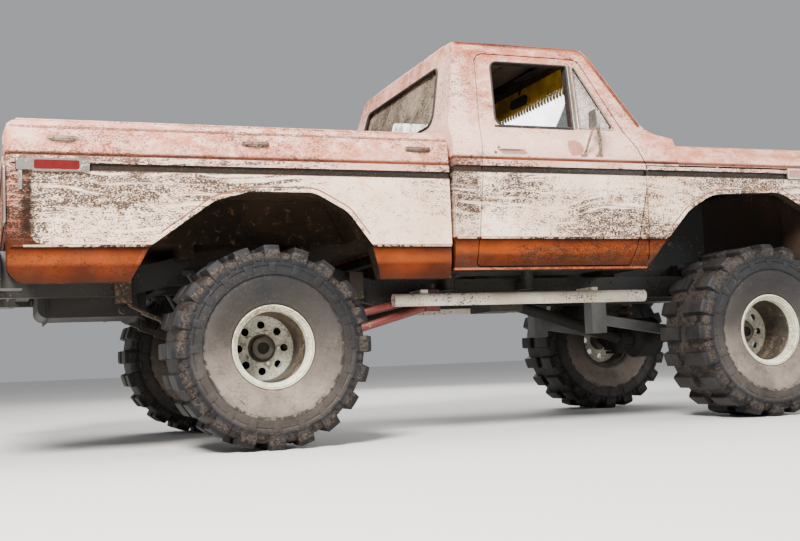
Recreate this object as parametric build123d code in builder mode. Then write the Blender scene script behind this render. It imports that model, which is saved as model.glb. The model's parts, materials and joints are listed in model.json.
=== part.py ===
from build123d import *
import math
import os

os.makedirs("parts", exist_ok=True)

# Stations: X is measured from the rear axle, Z from the bottom of the cab's rocker, in millimetres.
wheelbase = 2972.0
front_reach = 3785.0
rear_reach = 1400.0
tyre_radius = 501.5
axle_drop = 380.0
rear_axle_x = -(front_reach - rear_reach) / 2.0
rocker_z = tyre_radius + axle_drop
front_axle_at = wheelbase
panel_gap = 6.0
seat_gap = 0.3
running_gap = 0.05
past = 40.0

# Side section shared by cab, doors, fenders and bed: its half width and how far each break is tucked in
side_half = 1000.0
rocker_tuck = 40.0
crease_tuck = 15.0
lower_tuck = 10.0
ledge_out = 4.0
band_depth = 8.0
groove_depth = 6.0
belt_tuck = 2.0
shoulder_tuck = 10.0
sill_tuck = 65.0
roof_edge_tuck = 215.0
drip_tuck = 252.0
crown_tuck = 570.0
crease_z = 80.0
lower_top_z = 160.0
ledge_rise = 7.0
ledge_height = 16.0
groove_z = 604.0
band_low_drop = 76.0
band_top_drop = 44.0
ridge_low_drop = 38.0
ridge_top_drop = 6.0
belt_rise = 8.0
shoulder_rise = 86.0
shoulder_radius = 70.0
sill_z = 800.0
sill_radius = 60.0
roof_edge_radius = 60.0
crown_radius = 900.0
crease_radius = 90.0
bed_drop = 42.0

# Cab, from its rear wall at cab_rear_x to the cowl
cab_rear_x = 1040.0
back_sill_lean = 10.0
back_top_lean = 132.0
cab_front_x = 2256.0
cowl_length = 216.0
hood_line_drop = 12.0
cowl_drop = 38.0
screen_foot_on = 44.0
screen_head_back = 251.0
drip_z = 1318.0
roof_edge_drop = 50.0
crown_rise = 48.0
roof_rise = 68.0
roof_rear_lean = 176.0
roof_rear_rise = 44.0
roof_front_back = 294.0
roof_front_rise = 34.0
roof_flat_rear_lean = 290.0
roof_flat_front_back = 406.0
roof_end_radius = 110.0
cowl_radius = 220.0
cab_wall_in = 150.0
cab_wall_roof_in = 284.0
cab_wall_roof_drop = 88.0
ceiling_in = 320.0
ceiling_drop = 26.0
ceiling_top_rise = 28.0
ceiling_side_drop = 12.0
back_wall = 62.0
firewall_back = 60.0
screen_frame = 62.0

cab_back_sill_x = cab_rear_x + back_sill_lean
cab_back_top_x = cab_rear_x + back_top_lean
cowl_front_x = cab_front_x + cowl_length
hood_line_z = groove_z - hood_line_drop
cowl_top_z = sill_z - cowl_drop
screen_foot_x = cab_front_x + screen_foot_on
screen_foot_z = sill_z
screen_head_x = cab_front_x - screen_head_back
screen_head_z = drip_z
roof_top_z = drip_z + roof_rise
roof_rear_x = cab_rear_x + roof_rear_lean
roof_rear_z = drip_z + roof_rear_rise
roof_flat_rear_x = cab_rear_x + roof_flat_rear_lean
roof_flat_front_x = cab_front_x - roof_flat_front_back
roof_front_x = cab_front_x - roof_front_back
roof_front_z = drip_z + roof_front_rise
cab_wall_half = side_half - cab_wall_in
ceiling_top_z = drip_z + ceiling_top_rise
firewall_x = cab_front_x - firewall_back

# Doors: places behind cab_front_x or ahead of cab_rear_x
door_rear_low_on = 130.0
door_low_z = 20.0
door_rear_mid_on = 177.0
door_rear_mid_z = 500.0
door_rear_top_on = 252.0
door_top_drop = 72.0
door_head_back = 308.0
door_sill_back = 114.0
door_sill_rise = 8.0
door_belt_back = 10.0
door_mid_z = 455.0
door_knee_back = 87.0
door_knee_z = 124.0
door_toe_back = 134.0
door_corner_radius = 60.0
door_foot_radius = 24.0
door_toe_in = 86.0
door_step_z = 128.0
door_inner_in = 116.0
door_frame_in = 262.0
door_frame_drop = 80.0
door_frame_top_in = 340.0
opening_low_z = 132.0
opening_rear_on = 222.0
opening_front_back = 160.0
opening_toe_back = 200.0
opening_head_back = 344.0
opening_top_drop = 112.0
opening_rear_top_on = 296.0
opening_knee_z = 360.0
opening_radius = 40.0
window_sill_rise = 6.0
window_rear_low_on = 298.0
window_rear_top_on = 338.0
window_top_drop = 116.0
window_front_top_back = 388.0
window_front_low_back = 434.0
vent_rear_low_back = 394.0
vent_rear_top_back = 350.0
vent_top_drop = 122.0
vent_head_back = 336.0
vent_front_low_back = 164.0
window_radius = 45.0
vent_radius = 8.0
glass_depth = 20.0
glass_thickness = 6.0
hinge_back = 4.0
hinge_radius = 5.5
hinge_low_z = 462.0
hinge_barrel = 32.0
hinge_leaf = 9.0
handle_on = 352.0
handle_z = 668.0
handle_length = 147.0
handle_depth = 26.0
handle_height = 22.0
handle_wall = 9.0
knee_gap = 7.0

door_belt_x = cab_front_x - door_belt_back
door_knee_x = cab_front_x - door_knee_back
door_toe_x = cab_front_x - door_toe_back
door_top_z = drip_z - door_top_drop
hinge_x = cab_front_x - hinge_back
handle_x = cab_rear_x + handle_on
window_low_z = sill_z + window_sill_rise

# Cab glass
screen_low_in = 200.0
screen_top_in = 325.0
screen_low_rise = 38.0
screen_top_drop = 46.0
screen_radius = 70.0
back_window_low_in = 310.0
back_window_top_in = 390.0
back_window_low_rise = 50.0
back_window_top_drop = 113.0
back_window_radius = 60.0

# Cab floor and inside
floor_top_z = 62.0
floor_thickness = 30.0
tunnel_half = 170.0
tunnel_top_z = 150.0
tunnel_back = 696.0
tunnel_wall = 40.0
firewall_thickness = 40.0
bulkhead_in = 70.0
firewall_top_z = 590.0
seat_half = 730.0
seat_clearance = 34.0
seat_back_on = 330.0
seat_front_back = 496.0
seat_cushion_low_z = 156.0
seat_cushion_z = 370.0
seat_back_top_z = 860.0
seat_rake = 70.0
seat_leg_half = 560.0
seat_leg_width = 60.0
seat_radius = 40.0
dash_depth = 236.0
dash_low_z = 470.0
dash_top_z = 740.0
dash_lip = 80.0
dash_foot = 40.0
dash_radius = 24.0
dash_wall_gap = 8.0
wheel_y = 380.0
wheel_back = 426.0
wheel_z = 690.0
wheel_rim_radius = 205.0
wheel_grip_radius = 12.0
wheel_grip_sides = 6
column_radius = 26.0
column_boss = 42.0
column_length = 250.0
column_tilt = 28.0
spoke_width = 26.0
spoke_depth = 10.0

# Bed
bed_tail_on = 175.0
bed_cab_gap = 26.0
bed_rail_z = 735.0
bed_rail_in = 50.0
bed_shoulder_drop = 35.0
bed_shoulder_in = 20.0
bed_rail_radius = 24.0
bed_rail_width = 120.0
bed_rail_depth = 45.0
bed_wall_in = 110.0
bed_floor_z = 200.0
bed_floor_thickness = 26.0
bed_wall = 28.0
bed_corner = 60.0
tail_radius = 46.0
rib_count = 9
rib_width = 46.0
rib_height = 9.0
bolster_width = 70.0
bolster_x = (-1040.0, -330.0, 300.0, 860.0)
pocket_x = (-1090.0, -90.0, 900.0)
pocket_length = 70.0
pocket_width = 36.0

bed_tail_x = -rear_reach + bed_tail_on
bed_front_x = cab_rear_x - bed_cab_gap
bed_rail_outer = side_half - bed_rail_in
bed_rail_inner = bed_rail_outer - bed_rail_width
bed_inner_half = side_half - bed_wall_in
rail_under_z = bed_rail_z - bed_rail_depth

# Arches: X from the axle, Z and corner radius, from the rear round to the front.
rear_arch = (
    (-690.0, -90.0, 0.0),
    (-572.0, 128.0, 60.0),
    (-250.0, 356.0, 170.0),
    (-70.0, 403.0, 130.0),
    (262.0, 403.0, 150.0),
    (440.0, 306.0, 170.0),
    (572.0, 128.0, 60.0),
    (628.0, -90.0, 0.0),
)
front_arch = (
    (-782.0, -60.0, 0.0),
    (-603.0, 167.0, 90.0),
    (-442.0, 338.0, 240.0),
    (-272.0, 432.0, 260.0),
    (218.0, 452.0, 230.0),
    (423.0, 338.0, 200.0),
    (580.0, 167.0, 90.0),
    (658.0, -60.0, 0.0),
)
wheelhouse_inner = 640.0
wheelhouse_wall = 12.0
wheelhouse_rear = 520.0
wheelhouse_front = 540.0
wheelhouse_top_z = 420.0
wheelhouse_slope = 130.0

# Tailgate
gate_out = 3.0
gate_thickness = 46.0
gate_clearance = 6.0
gate_pin_radius = 8.0
gate_pin_reach = 24.0
gate_pin_on = 20.0
gate_pin_z = 181.0
gate_low_z = 168.0
gate_top_drop = 23.0
gate_recess = 8.0
gate_frame = 70.0
gate_field_radius = 40.0
gate_radius = 30.0

gate_outer_x = bed_tail_x - gate_out
gate_half = bed_rail_inner - gate_clearance
gate_pin_x = bed_tail_x + gate_pin_on
gate_top_z = bed_rail_z - gate_top_drop

# Fenders, hood and nose
fender_wall = 60.0
nose_back = 95.0
fender_rear_gap = 4.0
apron_in = 240.0
apron_thickness = 12.0
hood_side_in = 8.0
hood_roll_in = 24.0
hood_roll_rise = 72.0
hood_shoulder_in = 95.0
hood_shoulder_rise = 142.0
hood_flat_in = 440.0
hood_flat_rise = 172.0
hood_top_rise = 180.0
hood_shoulder_radius = 90.0
hood_skin = 26.0
hood_rear_gap = 6.0
hood_nose_length = 124.0
hood_nose_drop = 40.0
hood_nose_radius = 60.0
hood_stop_radius = 14.0
hood_stop_y = 560.0
hood_stop_back = 15.0
hood_side_stop_on = 504.0
hood_side_stop_in = 22.0
nose_low_z = 150.0
nose_radius = 60.0
support_back = 285.0
support_thickness = 60.0
support_in = 70.0
support_low_z = 24.0
radiator_half = 620.0
radiator_low_z = 90.0
radiator_high_z = 540.0
radiator_recess = 20.0
grille_back = 145.0
grille_front_back = 91.0
grille_in = 75.0
grille_low_z = 210.0
grille_top_gap = 12.0
grille_frame = 34.0
grille_bars = 4
grille_bar_height = 16.0
grille_radius = 30.0
lamp_y = 748.0
lamp_z = 400.0
lamp_radius = 89.0
lamp_bezel = 24.0
lamp_depth = 40.0
signal_z = 262.0
signal_width = 190.0
signal_height = 54.0
marker_length = 150.0
marker_height = 46.0
marker_depth = 8.0
front_marker_back = 455.0
front_marker_z = 562.0
rear_marker_length = 290.0
rear_marker_on = 364.0
rear_marker_z = 512.0
tail_lamp_low_z = 250.0
tail_lamp_height = 250.0
tail_lamp_width = 92.0
tail_lamp_in = 65.0
tail_lamp_depth = 14.0

fender_front_x = front_reach - nose_back
fender_rear_x = cab_front_x + fender_rear_gap
hood_side_half = side_half - hood_side_in
hood_rear_x = cowl_front_x + hood_rear_gap
hood_front_x = fender_front_x - panel_gap
hood_top_z = hood_line_z + hood_top_rise
hood_stop_x = hood_front_x - hood_stop_back
support_x = front_reach - support_back
grille_rear_x = front_reach - grille_back
grille_front_x = front_reach - grille_front_back
grille_half = side_half - grille_in
grille_top_z = hood_line_z - grille_top_gap
front_marker_x = front_reach - front_marker_back
rear_marker_x = -rear_reach + rear_marker_on
tail_lamp_y = side_half - tail_lamp_in

# Bumpers
bumper_height = 175.0
bumper_thickness = 70.0
front_bumper_z = 30.0
front_bumper_in = 15.0
bumper_end_sweep = 150.0
bumper_curl_depth = 14.0
bumper_radius = 40.0
rear_bumper_z = front_bumper_z
rear_bumper_in = 60.0
rear_bumper_depth = 150.0
rear_bumper_height = bumper_height
bumper_wing_in = 134.0
bumper_wing_width = 180.0
bumper_wing_length = 100.0
rear_bumper_radius = 24.0
hitch_radius = 13.0
bracket_height = 90.0

# Ladder frame: rail side view as X, top Z and bottom Z of each station.
rail_outer = 430.0
rail_width = 65.0
rail_rear_on = 210.0
rail_front_back = 145.0
rail_rear_x = -rear_reach + rail_rear_on
rail_front_x = front_reach - rail_front_back
rail_stations = (
    (rail_rear_x, 60.0, -75.0),
    (-640.0, 60.0, -75.0),
    (-380.0, 122.0, -20.0),
    (340.0, 122.0, -20.0),
    (760.0, -8.0, -150.0),
    (rail_front_x, -8.0, -130.0),
)
rail_end_top_z = rail_stations[-1][1]
rail_end_low_z = rail_stations[-1][2]
rear_cross_on = 70.0
front_cross_back = 200.0
cross_x = (rail_rear_x + rear_cross_on, -430.0, 470.0, 1330.0, 1900.0, rail_front_x - front_cross_back)
cross_width = 70.0
cross_height = 80.0
mount_x = (1190.0, 1700.0)
mount_radius = 38.0
mount_reach = 90.0
mount_low_z = -80.0
mount_plate = 40.0

# Powertrain
engine_rear_x = 2440.0
engine_front_x = 3140.0
engine_half = 290.0
engine_low_z = -20.0
engine_top_z = 470.0
pan_depth = 130.0
pan_half = 130.0
pan_inset = 90.0
engine_mount_width = 90.0
engine_mount_back = 270.0
gearbox_radius = 105.0
gearbox_rear_x = 1880.0
gearbox_z = -10.0
transfer_length = 230.0
transfer_half = 150.0
transfer_low_z = -190.0
transfer_shift = 60.0

# Axles
tube_radius = 41.0
diff_radius = 150.0
diff_half_depth = 78.0
diff_face_radius = 96.0
diff_shoulder = 34.0
diff_length = 190.0
front_diff_radius = 135.0
front_diff_y = 250.0
tyre_track_half = 911.0
kingpin_half = 640.0
front_tube_half = 560.0
yoke_height = 210.0
yoke_width = 90.0
yoke_thickness = 40.0
yoke_arm = 44.0
yoke_past_pin = 30.0
rear_tube_half = 700.0
flange_radius = 70.0
drum_radius = 150.0
drum_depth = 46.0
spindle_radius = 30.0
spindle_length = 166.0
knuckle_gap = 6.0
kingpin_radius = 14.0
knuckle_plate = 46.0

# Drive shafts
shaft_radius = 38.0
shaft_yoke = 60.0
shaft_z = -40.0
front_shaft_y = 150.0
front_shaft_z = -120.0
rod_sides = 12

# Rear leaf springs
spring_width = 64.0
spring_y = 460.0
leaf_thickness = 11.0
leaf_count = 5
spring_half_length = 640.0
spring_rise = 175.0
spring_base_z = -333.0
leaf_step = 95.0
hanger_width = 40.0
hanger_height = 150.0
clamp_height = 60.0
clamp_half_length = 65.0
clamp_overlap = 22.0

# Front coil springs and radius arms
coil_radius = 68.0
coil_wire = 30.0
coil_turns = 6
coil_sides = 10
coil_y = 480.0
coil_low_z = -335.0
coil_high_z = 60.0
coil_seat = 90.0
coil_seat_thickness = 15.0
arm_height = 62.0
arm_width = 34.0
arm_y = 384.0
arm_rear_x = 2230.0
arm_rear_z = -265.0
drop_width = 100.0
drop_low_z = -352.0
drop_thickness = 30.0

# Traction bars, side pipes, shocks and tank
bar_radius = 22.0
bar_y = 560.0
bar_front_x = 1060.0
bar_front_z = -112.0
bar_front_spacing = 56.0
bar_upper_z = -318.0
bar_lower_z = -432.0
bar_rear_x = 96.0
bar_plate = 16.0
bar_plate_rear_x = 8.0
bar_bracket_half = 44.0
bar_bracket_height = 33.0
bar_bracket_out = 26.0
pipe_radius = 36.0
pipe_wall = 4.0
pipe_bore_length = 220.0
pipe_y = 610.0
pipe_rear_x = 812.0
pipe_front_x = 2440.0
pipe_z = -136.0
pipe_hanger_x = (1000.0, 2100.0)
pipe_hanger_half = 22.0
pipe_hanger_top_z = -80.0
shock_radius = 30.0
shock_rod = 12.0
tank_on = 340.0
tank_length = 560.0
tank_half = 300.0
tank_low_z = -175.0
tank_top_z = 40.0
tank_radius = 50.0
tank_strap = 50.0
tank_strap_z = -20.0
tank_strap_thickness = 40.0

# Mirrors
mirror_back = 376.0
mirror_z = 828.0
mirror_reach = 75.0
mirror_height = 114.0
mirror_width = 96.0
mirror_thickness = 26.0
mirror_radius = 20.0
mirror_arm_radius = 9.0
mirror_drop = 190.0
mirror_foot_on = 70.0
mirror_foot_back = 30.0

# Wheels
wheel_facets = 20
half_facet = 180.0 / wheel_facets
tyre_width = 437.0
carcass_radius = 474.0
tread_half = 182.0
shoulder_half_width = 208.0
shoulder_foot_radius = 440.0
bulge_radius = 345.0
lug_count = 20
lug_width = 78.0
lug_inner_y = 14.0
lug_short_inner_y = 62.0
lug_tip_half = 196.0
lug_sink = 20.0
lug_shoulder_drop = 30.0
bead_seat_radius = 184.0
rim_lip_radius = 207.0
rim_lip_half = 190.0
rim_lip_width = 12.0
rim_lip_gap = 3.0
rim_seat_length = 56.0
rim_well_length = 74.0
rim_barrel_radius = 168.0
rim_wall = 9.0
disc_y = -75.0
disc_thickness = 14.0
hub_radius = 58.0
hub_length = 80.0
wheel_hole_radius = 20.0
wheel_hole_circle = 118.0
wheel_hole_count = 8
wheel_hole_sides = 8


def side_plane(y):
    return Plane(origin=(rear_axle_x, y, rocker_z), x_dir=(1, 0, 0), z_dir=(0, -1, 0))


def section_plane(x):
    return Plane(origin=(rear_axle_x + x, 0, rocker_z), x_dir=(0, 1, 0), z_dir=(1, 0, 0))


def level_plane(z):
    return Plane(origin=(rear_axle_x, 0, rocker_z + z), x_dir=(1, 0, 0), z_dir=(0, 0, 1))


def station(x, y, z):
    return (rear_axle_x + x, y, rocker_z + z)


# The second half of a section is the first one mirrored; a point on the middle line isn't repeated.
def both_halves(half):
    return half + [(-row[0],) + tuple(row[1:]) for row in reversed(half) if row[0] > 0.0]


def other_side(rows):
    return [(-row[0],) + tuple(row[1:]) for row in rows]


# A closed outline: each row is a corner and, where it is rounded, its radius, kept within its two runs.
def outline(rows):
    corners = [(Vector(row[0], row[1]), row[2] if len(row) > 2 else 0.0) for row in rows]
    arcs = []
    for index, (here, radius) in enumerate(corners):
        back = corners[index - 1][0] - here
        ahead = corners[(index + 1) % len(corners)][0] - here
        half_turn = math.radians(back.get_angle(ahead)) / 2.0
        reach = min(radius / math.tan(half_turn), back.length / 2.2, ahead.length / 2.2)
        bisector = (back.normalized() + ahead.normalized()).normalized()
        sagitta = reach / math.cos(half_turn) - reach * math.tan(half_turn)
        start = here + back.normalized() * reach
        end = here + ahead.normalized() * reach
        arcs.append((start, here + bisector * sagitta, end, reach))
    for index, (start, middle, end, reach) in enumerate(arcs):
        if reach > 0.0:
            ThreePointArc(start, middle, end)
        Line(end, arcs[(index + 1) % len(arcs)][0])


def block_on(plane, rows, amount):
    with BuildPart() as block:
        with BuildSketch(plane):
            with BuildLine():
                outline(rows)
            make_face()
        extrude(amount=amount)
    return block.part


def side_block(rows, y_from, y_to):
    return block_on(side_plane(max(y_from, y_to)), rows, abs(y_to - y_from))


def section_block(rows, x_from, x_to):
    return block_on(section_plane(x_from), rows, x_to - x_from)


def level_block(rows, z_from, z_to):
    return block_on(level_plane(z_from), rows, z_to - z_from)


def box_between(low, high):
    size = [abs(h - l) for l, h in zip(low, high)]
    middle = [(h + l) / 2.0 for l, h in zip(low, high)]
    with BuildPart() as block:
        with Locations(station(*middle)):
            Box(*size)
    return block.part


def run_plane(start, end):
    a = Vector(*station(*start))
    b = Vector(*station(*end))
    return Plane(origin=a, z_dir=b - a), (b - a).length


def rod_between(start, end, radius):
    plane, length = run_plane(start, end)
    with BuildPart() as rod:
        with BuildSketch(plane):
            Circle(radius)
        extrude(amount=length)
    return rod.part


# A rod of few faces, for what repeats and isn't a fit
def plain_rod(start, end, radius, sides=rod_sides):
    plane, length = run_plane(start, end)
    with BuildPart() as rod:
        with BuildSketch(plane):
            RegularPolygon(radius, sides)
        extrude(amount=length)
    return rod.part


def mirrored(shape):
    return mirror(shape, about=Plane.XZ)


# Half section of the body side, from the rocker up to just over the groove.
def lower_section(drop=0.0):
    return [
        (side_half - rocker_tuck, -drop),
        (side_half - crease_tuck, crease_z - drop, crease_radius),
        (side_half - lower_tuck, lower_top_z - drop),
        (side_half + ledge_out, lower_top_z + ledge_rise - drop),
        (side_half, lower_top_z + ledge_height - drop),
        (side_half, groove_z - band_low_drop - drop),
        (side_half - band_depth, groove_z - band_low_drop + panel_gap - drop),
        (side_half - band_depth, groove_z - band_top_drop - drop),
        (side_half + ledge_out, groove_z - ridge_low_drop - drop),
        (side_half + ledge_out, groove_z - ridge_top_drop - drop),
        (side_half - groove_depth, groove_z - drop),
        (side_half - belt_tuck, groove_z + belt_rise - drop),
    ]


# Outer form of the cab, used by the shell, the doors and the glass
shoulder_row = (side_half - shoulder_tuck, groove_z + shoulder_rise, shoulder_radius)
sill_row = (side_half - sill_tuck, sill_z, sill_radius)
roof_edge_row = (side_half - roof_edge_tuck, drip_z - roof_edge_drop, roof_edge_radius)
drip_row = (side_half - drip_tuck, drip_z)
cab_section = both_halves(
    lower_section()
    + [
        shoulder_row,
        sill_row,
        roof_edge_row,
        drip_row,
        (side_half - crown_tuck, drip_z + crown_rise, crown_radius),
        (0.0, roof_top_z),
    ]
)
cab_side = [
    (cab_rear_x, -past),
    (cab_back_sill_x, sill_z),
    (cab_back_top_x, drip_z),
    (roof_rear_x, roof_rear_z, roof_end_radius),
    (roof_flat_rear_x, roof_top_z + panel_gap),
    (roof_flat_front_x, roof_top_z + panel_gap),
    (roof_front_x, roof_front_z, roof_end_radius),
    (screen_head_x, screen_head_z),
    (screen_foot_x, screen_foot_z, cowl_radius),
    (cowl_front_x, cowl_top_z),
    (cowl_front_x, hood_line_z),
    (cab_front_x, hood_line_z),
    (cab_front_x, -past),
]
with BuildPart() as cab_form:
    add(section_block(cab_section, cab_rear_x - past, cowl_front_x + past))
    add(side_block(cab_side, side_half + past, -side_half - past), mode=Mode.INTERSECT)

door_outline = [
    (cab_rear_x + door_rear_low_on, door_low_z, door_foot_radius),
    (cab_rear_x + door_rear_mid_on, door_rear_mid_z),
    (cab_rear_x + door_rear_mid_on, groove_z),
    (cab_rear_x + door_rear_top_on, door_top_z, door_corner_radius),
    (cab_front_x - door_head_back, door_top_z, door_corner_radius),
    (cab_front_x - door_sill_back, sill_z + door_sill_rise),
    (door_belt_x, groove_z),
    (door_belt_x, door_mid_z),
    (door_knee_x, door_knee_z),
    (door_toe_x, door_low_z),
]
door_core_rows = both_halves(
    [
        (side_half - door_toe_in, -past),
        (side_half - door_toe_in, door_step_z),
        (side_half - door_inner_in, door_step_z),
        (side_half - door_inner_in, sill_z),
        (side_half - door_frame_in, drip_z - door_frame_drop),
        (side_half - door_frame_top_in, roof_top_z),
    ]
)
with BuildPart() as door_zone:
    add(side_block(door_outline, side_half + past, -side_half - past))
    add(section_block(door_core_rows, cab_rear_x, cab_front_x), mode=Mode.SUBTRACT)

with BuildPart() as door_gap_zone:
    with BuildSketch(side_plane(side_half + past)):
        with BuildLine():
            outline(door_outline)
        make_face()
        offset(amount=panel_gap, kind=Kind.INTERSECTION)
    extrude(amount=(side_half + past) * 2.0)
    with BuildSketch(section_plane(cab_rear_x - past)):
        with BuildLine():
            outline(door_core_rows)
        make_face()
        offset(amount=-panel_gap, kind=Kind.INTERSECTION)
    extrude(amount=cowl_front_x - cab_rear_x, mode=Mode.SUBTRACT)

# Cab shell: roof, pillars, back wall, sills and cowl
cab_void_rows = both_halves(
    [
        (cab_wall_half, -past),
        (cab_wall_half, sill_z),
        (side_half - cab_wall_roof_in, drip_z - cab_wall_roof_drop),
        (side_half - ceiling_in, drip_z - ceiling_drop),
        (side_half - crown_tuck, ceiling_top_z - ceiling_side_drop),
        (0.0, ceiling_top_z),
    ]
)
cab_void_side = [
    (cab_rear_x + back_wall, -past),
    (cab_back_sill_x + back_wall, sill_z),
    (cab_back_top_x + back_wall, drip_z),
    (roof_flat_rear_x, ceiling_top_z),
    (roof_flat_front_x, ceiling_top_z),
    (screen_head_x - screen_frame, screen_head_z - ceiling_side_drop),
    (screen_foot_x - screen_frame, screen_foot_z - ceiling_drop),
    (cab_front_x - panel_gap, firewall_top_z),
    (cab_front_x - panel_gap, -past),
]
with BuildPart() as cab_void:
    add(section_block(cab_void_rows, cab_rear_x, cab_front_x + past))
    add(side_block(cab_void_side, side_half, -side_half), mode=Mode.INTERSECT)

door_opening = [
    (cab_rear_x + opening_rear_on, opening_low_z, opening_radius),
    (cab_rear_x + opening_rear_on, sill_z),
    (cab_rear_x + opening_rear_top_on, drip_z - opening_top_drop, opening_radius),
    (cab_front_x - opening_head_back, drip_z - opening_top_drop, opening_radius),
    (cab_front_x - opening_front_back, sill_z),
    (cab_front_x - opening_front_back, opening_knee_z),
    (cab_front_x - opening_toe_back, opening_low_z, opening_radius),
]
screen_cut = both_halves(
    [
        (side_half - screen_low_in, sill_z + screen_low_rise, screen_radius),
        (side_half - screen_top_in, drip_z - screen_top_drop, screen_radius),
    ]
)
back_cut = both_halves(
    [
        (side_half - back_window_low_in, sill_z + back_window_low_rise, back_window_radius),
        (side_half - back_window_top_in, drip_z - back_window_top_drop, back_window_radius),
    ]
)
with BuildPart() as cab_shell:
    add(cab_form.part)
    add(cab_void.part, mode=Mode.SUBTRACT)
    add(door_gap_zone.part, mode=Mode.SUBTRACT)
    add(side_block(door_opening, side_half + past, -side_half - past), mode=Mode.SUBTRACT)
    add(section_block(screen_cut, roof_front_x - past, cowl_front_x + past), mode=Mode.SUBTRACT)
    add(section_block(back_cut, cab_rear_x - past, roof_flat_rear_x), mode=Mode.SUBTRACT)
    add(
        box_between(
            (firewall_x, -tunnel_half - past, -past),
            (cowl_front_x, tunnel_half + past, tunnel_top_z + past),
        ),
        mode=Mode.SUBTRACT,
    )
    for side in (-1.0, 1.0):
        add(
            box_between(
                (door_belt_x, side * (side_half - bulkhead_in), -past),
                (cowl_front_x, side * (side_half + past), hood_line_z),
            ),
            mode=Mode.SUBTRACT,
        )
cab_shell.part.label = "cab_shell"
export_step(cab_shell.part, "parts/cab_shell.step")

# Windscreen and rear window, each set in its opening
screen_slab = [
    (screen_head_x - glass_depth, screen_head_z),
    (screen_foot_x - glass_depth, screen_foot_z),
    (screen_foot_x - glass_depth - glass_thickness, screen_foot_z),
    (screen_head_x - glass_depth - glass_thickness, screen_head_z),
]
back_slab = [
    (cab_back_sill_x + glass_depth, sill_z),
    (cab_back_top_x + glass_depth, drip_z),
    (cab_back_top_x + glass_depth + glass_thickness, drip_z),
    (cab_back_sill_x + glass_depth + glass_thickness, sill_z),
]
with BuildPart() as screen_pane:
    add(side_block(screen_slab, side_half, -side_half))
    add(section_block(screen_cut, roof_front_x - past, cowl_front_x), mode=Mode.INTERSECT)
with BuildPart() as back_pane:
    add(side_block(back_slab, side_half, -side_half))
    add(section_block(back_cut, cab_rear_x, roof_flat_rear_x), mode=Mode.INTERSECT)
with BuildPart() as cab_glass:
    add(screen_pane.part)
    add(back_pane.part)
cab_glass.part.label = "cab_glass"
export_step(cab_glass.part, "parts/cab_glass.step")

# Cab floor with its tunnel and the firewall
floor_low_z = floor_top_z - floor_thickness
floor_rear_x = cab_rear_x + back_wall
tunnel_rear_x = firewall_x - tunnel_back
firewall_front_x = firewall_x + firewall_thickness
with BuildPart() as cab_floor:
    add(box_between((floor_rear_x, -cab_wall_half, floor_low_z), (firewall_x, cab_wall_half, floor_top_z)))
    add(box_between((tunnel_rear_x, -tunnel_half, floor_low_z), (firewall_x, tunnel_half, tunnel_top_z)))
    firewall_low = (firewall_x, -cab_wall_half, floor_low_z)
    add(box_between(firewall_low, (firewall_front_x, cab_wall_half, firewall_top_z)))
    add(
        box_between(
            (tunnel_rear_x - past, -tunnel_half + tunnel_wall, floor_low_z - past),
            (firewall_front_x + past, tunnel_half - tunnel_wall, tunnel_top_z - tunnel_wall),
        ),
        mode=Mode.SUBTRACT,
    )
    add(cab_void.part, mode=Mode.INTERSECT)
cab_floor.part.label = "cab_floor"
export_step(cab_floor.part, "parts/cab_floor.step")

# Bench seat
seat_rear_x = floor_rear_x + seat_clearance
seat_front_x = cab_front_x - seat_front_back
seat_side = [
    (seat_rear_x + seat_rake, seat_cushion_low_z),
    (seat_rear_x, seat_back_top_z, seat_radius),
    (seat_rear_x + seat_rake * 2.0, seat_back_top_z, seat_radius),
    (cab_rear_x + seat_back_on, seat_cushion_z, seat_radius),
    (seat_front_x, seat_cushion_z, seat_radius),
    (seat_front_x, seat_cushion_low_z),
]
with BuildPart() as bench_seat:
    add(side_block(seat_side, seat_half, -seat_half))
    for side in (-1.0, 1.0):
        leg_y = side * seat_leg_half
        add(
            box_between(
                (seat_rear_x + seat_rake * 2.0, leg_y - seat_leg_width / 2.0, floor_top_z),
                (seat_front_x - seat_leg_width, leg_y + seat_leg_width / 2.0, seat_cushion_low_z),
            )
        )
bench_seat.part.label = "bench_seat"
export_step(bench_seat.part, "parts/bench_seat.step")

# Dashboard
dash_rear_x = firewall_x - dash_depth
dash_side = [
    (firewall_x, dash_low_z),
    (dash_rear_x + dash_foot, dash_low_z, dash_radius),
    (dash_rear_x, dash_top_z - dash_lip, dash_radius),
    (dash_rear_x + dash_lip, dash_top_z, dash_radius),
    (firewall_x, dash_top_z),
]
with BuildPart() as dashboard:
    add(side_block(dash_side, cab_wall_half - dash_wall_gap, -cab_wall_half + dash_wall_gap))
dashboard.part.label = "dashboard"
export_step(dashboard.part, "parts/dashboard.step")

# Steering wheel with its column, tilted up toward the driver
column_lean = math.radians(column_tilt)
column_plane = Plane(
    origin=station(cab_front_x - wheel_back, wheel_y, wheel_z),
    x_dir=(0, 1, 0),
    z_dir=(math.cos(column_lean), 0, -math.sin(column_lean)),
)
with BuildPart() as steering_wheel:
    with BuildSketch(Plane(origin=column_plane.origin, x_dir=column_plane.x_dir, z_dir=column_plane.y_dir)):
        with Locations((wheel_rim_radius, 0)):
            RegularPolygon(wheel_grip_radius, wheel_grip_sides)
    revolve(axis=Axis(column_plane.origin, column_plane.z_dir))
    with BuildSketch(column_plane):
        Rectangle(wheel_rim_radius * 2.0, spoke_width)
        Circle(column_boss)
    extrude(amount=spoke_depth)
    with BuildSketch(column_plane):
        Circle(column_radius)
    extrude(amount=column_length)
    add(dashboard.part, mode=Mode.SUBTRACT)
steering_wheel.part.label = "steering_wheel"
export_step(steering_wheel.part, "parts/steering_wheel.step")

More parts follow.
